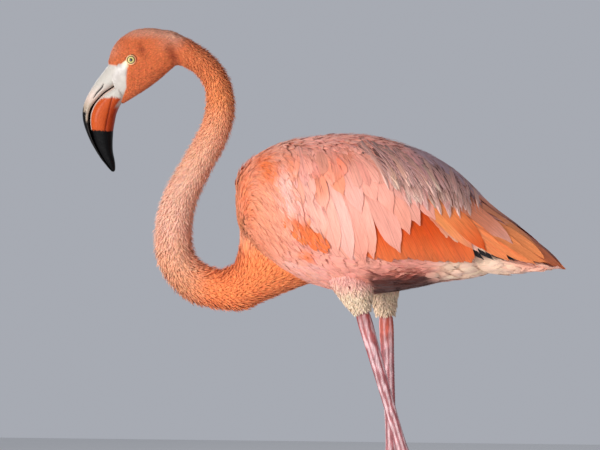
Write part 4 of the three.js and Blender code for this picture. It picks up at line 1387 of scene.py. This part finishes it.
for name, t_range, seed in (
    ("body_coat_upper", (-SIDE_STARTS, SIDE_STARTS), 31),
    ("body_coat_lower", (SIDE_STARTS, 2 * np.pi - SIDE_STARTS), 32),
):
    rng = np.random.default_rng(seed)
    s, t = scatter(trunk, (0.02, 9.2), body_gap, seed, t_range)
    x, y, z = trunk(s, t).T
    keep = ~(inside_outline(x, z, shrunk(WING_OUTLINE, 0.82)) & (np.abs(y) > 12))
    keep &= ~((x > 85) & (z > 640)) & ~((x > 150) & (z > 585))
    s, t, x, z = s[keep], t[keep], x[keep], z[keep]
    n = len(s)
    length = (np.interp(x, *BODY_LENGTH) + 8 * ramp(z, 690, 712)) * rng.uniform(0.8, 1.2, n)
    veer = rng.normal(0, 0.14, n)
    ragged = (0.4 + 4.6 * ramp(z, 628, 655)) * ramp(x, -82, -100)
    stand = rng.uniform(-0.4, 0.5, n) + ragged * rng.uniform(0, 1, n) ** 5
    stand = stand + 3.2 * ramp(z, 704, 714) * rng.uniform(0, 1, n) ** 3
    half = np.interp(x, *BODY_HALF) * rng.uniform(0.85, 1.15, n)
    roots, marked = (trunk, s, t, body_flow, CONTOUR), (body_markings_and_shade, 0.05, 0.1)
    batches = [feathers(*roots, length, veer, BODY_ROOT, stand, half, seed, *marked)]
    more = rng.integers(0, n, int(n * 0.7))
    batches.append(strands_over(trunk, s[more], t[more], length[more], (0.3, 1.6), seed + 50))
    # Shorter feathers that lie less evenly close the parting over the breast.
    front = x < -90
    short, half = length[front] * 0.75, half[front] * 1.1
    veer, stand = rng.normal(0, 0.45, len(short)), rng.uniform(-1.2, 0.2, len(short))
    roots = (trunk, s[front] + 0.08, t[front] + 0.02, body_flow, CONTOUR)
    marked = (body_markings_and_shade, 0.05, 0.06)
    batches.append(feathers(*roots, short, veer, BODY_ROOT, stand, half, seed + 7, *marked))
    if name == "body_coat_lower":
        # Broad soft flank feathers below the wrist, and puffed coverts under the tail.
        for t_range in ((1.55, 2.8), (2 * np.pi - 2.8, 2 * np.pi - 1.55)):
            s, t = scatter(trunk, (2.7, 5.8), (8.5, 7.5), seed + 60, t_range, 0.35)
            low_down = trunk(s, t)[:, 2] < 606
            s, t = s[low_down], t[low_down]
            n = len(s)
            length, veer = rng.uniform(30, 42, n), rng.normal(0, 0.1, n)
            stand = rng.uniform(0.4, 1.3, n) + 3.6 * ramp(trunk(s, t)[:, 2], 572, 600)
            half = rng.uniform(4, 5.6, n)
            roots, marked = (trunk, s, t, body_flow, FLANK), (body_markings_and_shade, 0.05, 0.08, 3, 0.08)
            forms = (length, veer, FLANK_ROOT, stand, half)
            batches.append(feathers(*roots, *forms, seed + 61, *marked))
            s, t = scatter(trunk, (7.3, 10.0), 8, seed + 62, t_range, 0.4)
            low_down = trunk(s, t)[:, 2] < 584
            s, t = s[low_down], t[low_down]
            n = len(s)
            length, veer = rng.uniform(26, 36, n), rng.normal(0, 0.2, n)
            middle = walk(trunk, s, t, body_flow, length, PUFF["shares"], veer)[0][:, 2]
            notch = 2.5 * patch(middle[:, 0], middle[:, 2], 188, 552, 12, 10)
            stand = rng.uniform(0.8, 3.4, n) * ramp(s, 10, 9.2) + notch
            half = rng.uniform(5, 7, n)
            roots, marked = (trunk, s, t, body_flow, PUFF), (body_markings_and_shade, 0.06, 0.1, 3, 0.06)
            forms = (length, veer, FLANK_ROOT, stand, half)
            batches.append(feathers(*roots, *forms, seed + 63, *marked))
    add_coat(name, batches, soft)

# ---- folded wings --------------------------------------------------------------------------
# Each folded wing is layered like roof tiles. Black primaries lie deepest, then orange secondaries
# along the lower edge, long pink scapulars over them, ragged narrow plumes over the rump, and long
# orange tertials that cover the tail and end in the wing's point. Soft feathers cover the roots.
# A feather's numbers are its root x and z, its tip x and z, and half its width, in mm.

LONG = {
    "shares": [0, 0.1, 0.22, 0.34, 0.46, 0.58, 0.7, 0.8, 0.89, 0.96, 1],
    "widths": [0.3, 0.5, 0.72, 0.88, 0.98, 1, 0.94, 0.82, 0.6, 0.34, 0.06],
    "across": [-1, -0.7, -0.35, 0, 0.35, 0.7, 1],
    "arch": 1.6,
    "fray": 0.03,
    "blunt": 0.05,
    "roll": 0.02,
}
FLAT = dict(LONG, arch=1.0)
INNER = dict(LONG, arch=0.9)
SQUARE = dict(FLAT, widths=[0.3, 0.5, 0.72, 0.88, 0.98, 1, 1, 1, 0.94, 0.8, 0.5])
ROUND_WIDTHS = [0.3, 0.5, 0.7, 0.84, 0.94, 1, 1, 0.94, 0.8, 0.55, 0.16]
LOW_ROUND = dict(LONG, widths=ROUND_WIDTHS, arch=0.8, blunt=0.1)
ROUND = dict(LOW_ROUND, arch=0.9)
SOFT_ROUND = dict(LOW_ROUND, arch=0.7, fray=0.08)
RUMP_KIND = dict(LONG, blunt=0.1)
LOW_HACKLE = dict(LONG, arch=0.6, fray=0.2, blunt=0.1)
HACKLE = dict(LOW_HACKLE, fray=0.24)
NARROW = {
    "shares": [0, 0.2, 0.4, 0.6, 0.8, 1],
    "widths": [0.7, 0.9, 1, 0.9, 0.6, 0.1],
    "across": [-1, 0, 1],
    "arch": 0.3,
    "fray": 0,
    "blunt": 0,
    "roll": 0.02,
}
wing_s = np.linspace(0, wings.last, 2000)
wing_rows = smooth_rows(WINGS, wing_s)


def wing_place(x, z):
    """The wing surface's parameters at places of its side view: s from x, and t from the height
    within the section there, by turning the super-ellipse's formula round."""
    s = np.interp(x, wing_rows[:, 0], wing_s)
    top, low = np.interp(s, wing_s, wing_rows[:, 1]), np.interp(s, wing_s, wing_rows[:, 3])
    up = (z - low) / (top - low) - BODY_WAIST
    c = signed_power(up / np.where(up > 0, 1 - BODY_WAIST, BODY_WAIST), BODY_POWER / 2)
    return s, np.arccos(np.clip(c, -0.995, 0.995))


def between(rows, side, shares, bend):
    """Paths from root to tip over the wing's surface, each bent a little backwards and up."""
    shares = np.asarray(shares)[:, None]
    root, tip = rows[:, None, 0:2], rows[:, None, 2:4]
    run = tip - root
    out = np.stack([-run[..., 1], run[..., 0]], -1)
    line = root + run * shares + out * bend * np.sin(np.pi * shares)
    s, t = wing_place(line[..., 0], line[..., 1])
    t = t * side
    point, _, _, normal = tangents(wings, s, t)
    turn = t[:, 0] % (2 * np.pi) / (2 * np.pi) % 1
    return point, normal, np.stack([turn, np.clip(s[:, 0] / wings.last, 0, 1)], -1)


def row_of(count, first, last, half, loose=0.0, seed=0):
    """Evenly spaced feathers from the first root and tip to the last ones."""
    rng = np.random.default_rng(seed)
    share = np.linspace(0, 1, count)[:, None]
    rows = np.array(first) + (np.array(last) - np.array(first)) * share
    rows = rows + rng.uniform(-loose, loose, rows.shape)
    return np.hstack([rows, np.full((count, 1), half) * rng.uniform(0.85, 1.1, (count, 1))])


def lay_row(rows, side, heights, shade, seed, kind, wild=0.05, bend=0.035, lean=0.0, loose=0.35):
    """One layer of feathers, from its height at the root to its height at the tip. shade is the
    markings' function, or colours from root to tip, evenly spread."""
    rows, shares = np.asarray(rows, float), kind["shares"]
    path = between(rows, side, shares, bend)
    length = np.hypot(rows[:, 2] - rows[:, 0], rows[:, 3] - rows[:, 1])
    rng = np.random.default_rng(seed)
    low, high = heights
    height = low + (high - low) * np.sqrt(np.asarray(shares))
    height = height + rng.uniform(-loose, loose, (len(rows), 1))
    made = blades(path, kind, length, rows[:, 4], height, seed, -lean * side)
    slope = -0.1 * side
    if callable(shade):
        made = tinted(made, shade, wild, 0.08, 3.0, 0.03, slope)
        # Each feather leans towards one of a few tones, picked at random.
        tone = OWN_TONES[made["rng"].integers(0, len(OWN_TONES), len(rows))]
        amount = 0.4 * made["rng"].uniform(0, 1, len(rows))
        made["tint"] = mix(made["tint"], tone[:, None, None], amount[:, None, None])
        return made
    places = np.linspace(0, 1, len(shade))
    tone = np.stack([np.interp(shares, places, channel) for channel in np.array(shade).T], -1)
    made = tinted(made, np.ones(3), wild, 0.2, 0, 0.04, slope)
    made["tint"] = np.clip(made["tint"] * tone[None, :, None], 0, 1)
    return made


OWN_TONES = np.array([PALE_PINK, PINK, PEACH, PEACH])
DARK = colour(30, 24, 26)
SLATE = colour(104, 72, 72)
BROWN_RED = colour(124, 52, 34)
DUSKY = colour(250, 146, 106)
TIP_BROWN = colour(230, 122, 74)
PLUME = colour(216, 160, 150)
PALE_PLUME = colour(240, 192, 176)
PLUME_SHADES = [colour(176, 128, 120), PLUME, PLUME, PALE_PLUME]
HACKLE_SHADES = [colour(150, 104, 94), colour(200, 150, 136), colour(220, 160, 142), PALE_PLUME]
UMBER = colour(150, 96, 84)
LIGHT_ORANGE = colour(255, 148, 86)
PINK_GREY = colour(240, 168, 148)

PRIMARIES = row_of(5, (110, 640, 190, 566), (150, 640, 238, 565), 7)
SECONDARIES = row_of(13, (46, 640, 72, 570), (140, 642, 186, 567), 10, 2, 9)
INNER_SECONDARIES = row_of(7, (122, 648, 170, 580), (152, 650, 212, 574), 7, 3, 10)
TERTIALS = [
    ([176, 640, 298, 557.5, 11], [BROWN_RED, TIP_BROWN, TIP_BROWN]),
    ([168, 664, 292, 572, 7], [DUSKY, TIP_BROWN, BROWN_RED]),
    ([130, 650, 232, 567, 11], [PINK, LIGHT_ORANGE, LIGHT_ORANGE]),
    ([150, 640, 262, 563, 12], [PINK, LIGHT_ORANGE, LIGHT_ORANGE]),
    ([160, 640, 277, 565, 14], [DUSKY, LIGHT_ORANGE, LIGHT_ORANGE]),
    ([96, 680, 190, 582, 11], [PINK, LIGHT_ORANGE, LIGHT_ORANGE, DUSKY]),
    ([106, 682, 206, 580, 12], [PINK, LIGHT_ORANGE, DEEP_ORANGE]),
    ([150, 664, 266, 584, 10], [DUSKY, DUSKY, LIGHT_ORANGE, LIGHT_ORANGE]),
    ([128, 672, 237, 588, 13], [DUSKY, DUSKY, DUSKY, PINK_GREY]),
    ([140, 678, 240, 608, 9], [SLATE, DUSKY, BROWN_RED]),
]
SCAPULARS = [
    [-70, 684, -46, 630, 8.5], [-60, 690, -29, 614, 10], [-46, 695, -9, 598, 11],
    [-32, 699, 12, 589, 12], [-16, 702, 28, 577, 12.5], [-2, 703, 44, 569, 13],
    [14, 703, 60, 564, 13], [28, 703, 71, 571, 12], [46, 701, 103, 578, 14],
    [64, 696, 116, 602, 12], [80, 690, 128, 613, 10], [94, 686, 146, 620, 9],
]
UPPER_SCAPULARS = [
    [-84, 676, -58, 636, 8], [-76, 688, -44, 632, 9], [-64, 696, -30, 634, 9],
    [-50, 702, -16, 630, 10], [-36, 706, -2, 642, 10], [-22, 709, 14, 630, 10],
    [-8, 711, 36, 650, 9.5], [8, 713, 58, 628, 11], [24, 714, 76, 642, 11], [40, 714, 96, 628, 11],
    [56, 713, 110, 642, 11], [72, 711, 126, 634, 10], [88, 707, 138, 644, 9],
]
LESSER = row_of(9, (-14, 612, 14, 577), (28, 606, 60, 568), 9, 1, 14)
MANTLE = row_of(22, (-70, 698, -62, 668), (92, 714, 136, 662), 7.5, 9, 4)
HACKLES = row_of(34, (44, 716, 98, 658), (158, 686, 194, 636), 3.8, 9, 12)
LOW_HACKLES = row_of(24, (64, 702, 114, 638), (160, 674, 180, 622), 4.2, 8, 13)
PLUMES = row_of(80, (44, 716, 96, 664), (160, 684, 190, 634), 0.9, 9, 6)
DARK_PLUMES = row_of(64, (50, 712, 104, 664), (166, 676, 190, 630), 0.7, 9, 8)
RUMP = row_of(22, (80, 724, 132, 694), (170, 690, 236, 608), 7, 4, 9)

satin = feather_look("wing_feathers", 0.62, 1.2, 0.35, 0.8, 0.16)

# Soft feathers close the spine between the wings, and the rump beneath the plumes.
SPINE_HALF_ANGLE = ([-90, -60, 60, 100, 145, 165], [0.4, 0.7, 0.7, 0.85, 0.95, 1.5])
SPINE_RISE = ([0.2, 0.6, 0.8], [-0.8, -1.6, -3.4])
SPINE_ROOT = -7.2
rng = np.random.default_rng(58)
s, t = scatter(wings, (1.6, 8.2), 7, 59, (-1.5, 1.5), 0.35)
keep = np.abs(t) < np.interp(wings(s, t)[:, 0], *SPINE_HALF_ANGLE)
s, t = s[keep], t[keep]
n = len(s)
length, veer = rng.uniform(26, 36, n), rng.normal(0, 0.12, n)
stand = np.interp(np.abs(t), *SPINE_RISE) + rng.uniform(-0.8, 0.6, n)
half = rng.uniform(4.6, 6, n)
roots, marked = (wings, s, t, body_flow, LONG_CONTOUR), (body_markings_and_shade, 0.06, 0.1)
spine = feathers(*roots, length, veer, SPINE_ROOT, stand, half, 60, *marked)
add_coat("rump_coat", [spine], satin)

SECONDARY_SHADES = [DEEP_ORANGE, DEEP_ORANGE, ORANGE]
# How a layer lies: wildness of colour, bend of the paths, lean, and looseness of the heights.
LOWER, UPPER = (0.05, 0.035, 0.02, 0.1), (0.05, 0.06, 0.025, 0.1)
MANTLE_LIE, HACKLE_LIE = (0.09, 0.06, 0.03, 0.1), (0.1, 0.07, 0.06)
TERTIAL_LOWEST, TERTIAL_STEP = -4.6, 0.36
SHOULDER_LOWEST = ([-95, -60, -15], [576, 584, 596])
SHOULDER_SHARES = np.array([1, 0.4, 0.14, 0.03, 0])
SHOULDER_ROOT, WRIST_ROOT = -3.4, -4
WRIST = dict(CONTOUR, rise=[0, 0.6, 0.86, 0.97, 1], arch=0.5, fray=0.1)
for side_name, side in SIDES:
    seed = 60 if side < 0 else 80
    deep = [
        lay_row(PRIMARIES, side, (-7, -6), [DARK, DARK], seed, LONG),
        lay_row(SECONDARIES, side, (-6.5, -3.6), SECONDARY_SHADES, seed + 1, SQUARE),
        lay_row(INNER_SECONDARIES, side, (-6.0, -3.8), [PINK, DUSKY, CREAM], seed + 2, INNER, 0.12),
    ]
    for k, (feather, shades) in enumerate(TERTIALS):
        lift = TERTIAL_LOWEST + TERTIAL_STEP * k
        deep.append(lay_row([feather], side, (lift - 1, lift + 1.0), shades, seed + 20 + k, FLAT))
    over = [
        lay_row(LESSER, side, (-5.0, -3.0), body_markings_and_shade, seed + 6, LOW_ROUND, *LOWER),
        lay_row(SCAPULARS, side, (-3.8, -2.0), body_markings_and_shade, seed + 7, ROUND, *LOWER),
        lay_row(UPPER_SCAPULARS, side, (-3.0, -1.1), body_markings_and_shade, seed + 8, ROUND, *UPPER),
        lay_row(MANTLE, side, (-2.2, -0.2), body_markings_and_shade, seed + 10, SOFT_ROUND, *MANTLE_LIE),
        # The rump's plumes take the greyer lilac of painted sky-lit shade.
        lay_row(RUMP, side, (-3.4, -1.2), [SLATE, SKY_SHADE_LILAC, SKY_SHADE_LILAC], seed + 11, RUMP_KIND),
        lay_row(LOW_HACKLES, side, (-2.8, 0.0), HACKLE_SHADES, seed + 15, LOW_HACKLE, *HACKLE_LIE),
        lay_row(HACKLES, side, (-2.4, 0.4), HACKLE_SHADES, seed + 12, HACKLE, *HACKLE_LIE),
        lay_row(DARK_PLUMES, side, (-1.4, 0.5), [SLATE, UMBER], seed + 14, NARROW, 0.25, 0.07),
        lay_row(PLUMES, side, (-1.4, 0.8), PLUME_SHADES, seed + 13, NARROW, 0.12, 0.07),
    ]
    # The shoulder in front of the scapulars: contour feathers that fade out rearwards.
    rng = np.random.default_rng(seed + 30)
    t_range = (0.02, 3.12) if side > 0 else (-3.12, -0.02)
    s, t = scatter(wings, (0.01, 4), 3.9, seed + 31, t_range)
    x, _, z = wings(s, t).T
    keep = (rng.uniform(0, 1, len(s)) > ramp(x + 0.35 * (z - 650), -52, -20)) & (x < 0)
    keep &= (streaks(x + 8, z - 4, WRIST_STREAK) < 0.5) & (z > np.interp(x, *SHOULDER_LOWEST))
    s, t, x, z = s[keep], t[keep], x[keep], z[keep]
    n = len(s)
    length = np.interp(x, [-95, -20], [20, 34]) * rng.uniform(0.8, 1.2, n)
    path = walk(wings, s, t, body_flow, length, CONTOUR["shares"], rng.normal(0, 0.12, n))
    stand = rng.uniform(-0.2, 0.7, n) - 4 * ramp(z, 622, 592)
    height = stand[:, None] + (SHOULDER_ROOT - np.minimum(stand, 0)[:, None]) * SHOULDER_SHARES
    shoulder = blades(path, CONTOUR, length, np.interp(x, [-95, -20], [2.3, 3.8]), height, seed + 32)
    over.append(tinted(shoulder, body_markings_and_shade, 0.05, 0.1))
    # The wrist's small orange coverts show below them, and loose barbs lie over it all.
    s, t = scatter(wings, (0.3, 5), 4.5, seed + 33, t_range)
    x, _, z = wings(s, t).T
    keep = streaks(x + 4, z - 4, WRIST_STREAK) > 0.2
    s, t = s[keep], t[keep]
    n = len(s)
    length, veer = rng.uniform(18, 26, n), rng.normal(0, 0.15, n)
    stand, half = rng.uniform(-0.8, 0.4, n), rng.uniform(3, 4.4, n)
    roots, marked = (wings, s, t, body_flow, WRIST), (ORANGE, 0.08, 0.2)
    over.append(feathers(*roots, length, veer, WRIST_ROOT, stand, half, seed + 34, *marked))
    s, t = scatter(wings, (0.1, wings.last * 0.55), 7.5, seed + 35, t_range)
    x, _, z = wings(s, t).T
    keep = (z > 590) & ((x < 10) | (z > 690))
    s, t = s[keep], t[keep]
    over.append(strands_over(wings, s, t, rng.uniform(16, 34, len(s)), (0.4, 2.2), seed + 36))
    add_coat(f"wing_feathers_{side_name}", deep, satin)
    add_coat(f"wing_coverts_{side_name}", over, satin)

# ---- tail and thighs -----------------------------------------------------------------------
# A short tail of stiff pink feathers under the tertials, puffed cream coverts beneath it, and dense
# cream down on the thighs, which ends in a ragged cuff over the bare leg.

TAIL_FEATHERS = 12
FAN_ROOT, FAN_STAND, FAN_HALF, UNDER_ROOT = -5, -0.6, 7.5, -4
TAIL_FAN = dict(LONG, rise=np.sqrt(LONG["shares"]), arch=0.9, roll=0.12)
UNDERTAIL = dict(LONG_CONTOUR, arch=1.0, fray=0.15, blunt=0.25)
THIGH_DOWN = dict(TUFT, rise=[0, 0.55, 0.88, 1], arch=0.4, roll=0.5)


def rearwards(point, along):
    return np.broadcast_to(np.array([1.0, 0, -0.05]), point.shape)


def undertail_tone_and_shade(point):
    """Cream, pinker and darker towards the tip: partly the coverts' own pink, partly painted shade
    under the tail.
    """
    return mix(CREAM, PINK, 0.5 * ramp(point[..., 0], 215, 255))


puffed = feather_look("tail_feathers", 0.8, 0.9, 0.3)
rng = np.random.default_rng(91)
n = TAIL_FEATHERS
t = np.linspace(-1.35, 1.35, n)
length, veer = 84 - 12 * np.abs(t), rng.normal(0, 0.02, n)
roots, marked = (tail, np.full(n, 0.15), t, rearwards, TAIL_FAN), (mix(PINK, CREAM, 0.4), 0.04, 0.1)
stand, half = np.full(n, FAN_STAND), np.full(n, FAN_HALF)
fan = feathers(*roots, length, veer, FAN_ROOT, stand, half, 92, *marked)
s, t = scatter(tail, (-0.5, 2.3), 7, 93, (1.2, 2 * np.pi - 1.2), 0.4)
n = len(s)
length, veer = rng.uniform(26, 36, n), rng.normal(0, 0.16, n)
stand = rng.uniform(-1.8, 0, n) + np.interp(s, [-0.5, 0.4], [2.0, 0]) * rng.uniform(0.3, 1, n)
half = rng.uniform(5, 6.5, n)
roots, marked = (tail, s, t, rearwards, UNDERTAIL), (undertail_tone_and_shade, 0.05, 0.12)
under = feathers(*roots, length, veer, UNDER_ROOT, stand, half, 94, *marked)
add_coat("tail_coat", [fan, under], puffed)


def downwards(point, along):
    return along


def thigh_markings(point):
    """Belly pink at the top, cream below."""
    return mix(mix(PALE_PINK, ORANGE, 0.25), THIGH_CREAM, ramp(point[..., 2], 544, 522))


down = feather_look("thigh_down", 0.85, 0.6, 0.25)
for side_name, side in SIDES:
    rng = np.random.default_rng(95 + side)
    thigh = tube(square_to(LEGS[side_name]["thigh"]), y=side * LEG_APART)
    s, t = scatter(thigh, (0.1, 3.15), 1.75, 96 + side, loose=0.45)
    n = len(s)
    length = np.interp(s, [0, 2, 3, 3.5], [14, 9, 6.5, 5.2]) * rng.uniform(0.75, 1.2, n)
    veer = rng.normal(0, 0.5, n)
    low = -np.interp(s, [0, 3, 4], [6, 4.5, 2.8])
    loose = np.interp(s, [0, 1.5, 3.5], [0, 1.2, 1.8])
    stand = rng.uniform(-0.5, 1, n) + loose * rng.uniform(0, 1, n)
    half = rng.uniform(0.8, 1.25, n)
    roots, marked = (thigh, s, t, downwards, THIGH_DOWN), (thigh_markings, 0.07, 0.12)
    made = feathers(*roots, length, veer, low, stand, half, 97, *marked)
    add_coat(f"thigh_coat_{side_name}", [made], down)

# ---- floor and light -----------------------------------------------------------------------
# A plain pale floor, a large soft key light from the left at the height of the head, a low weak
# fill from in front of the legs, a faint light from behind and a pale surround.

FLOOR_HALF, FLOOR_ROUGHNESS, FLOOR_GREY = 4000, 0.8, (0.72, 0.72, 0.72, 1)
SURROUND, SURROUND_STRENGTH = (0.86, 0.9, 1, 1), 0.45

corners = FLOOR_HALF * np.array([[-1, -1, 0], [1, -1, 0], [1, 1, 0], [-1, 1, 0]], float)
floor = add_piece("floor", make_mesh("floor", corners, [np.array([[0, 1, 2, 3]])]))
floor_look = bpy.data.materials.new("floor")
floor_look.use_nodes = True
floor_inputs = floor_look.node_tree.nodes["Principled BSDF"].inputs
floor_inputs["Base Color"].default_value = FLOOR_GREY
floor_inputs["Roughness"].default_value = FLOOR_ROUGHNESS
floor.data.materials.append(floor_look)

for name, place, size, power in (
    ("key", (-1950, -2750, 1050), 800, 95),
    ("fill", (-200, -3000, 250), 1800, 27),
    ("rim", (-1500, 2500, 2000), 1500, 25),
):
    lamp = bpy.data.lights.new(name, "AREA")
    lamp.energy, lamp.size = power, size * MM
    aim(add_piece(name, lamp), Vector(place), LOOK_AT - Vector(place))

bpy.context.scene.view_settings.view_transform = "Standard"
world = bpy.data.worlds.new("surround")
bpy.context.scene.world = world
world.use_nodes = True
surround = world.node_tree.nodes["Background"].inputs
surround["Color"].default_value, surround["Strength"].default_value = SURROUND, SURROUND_STRENGTH
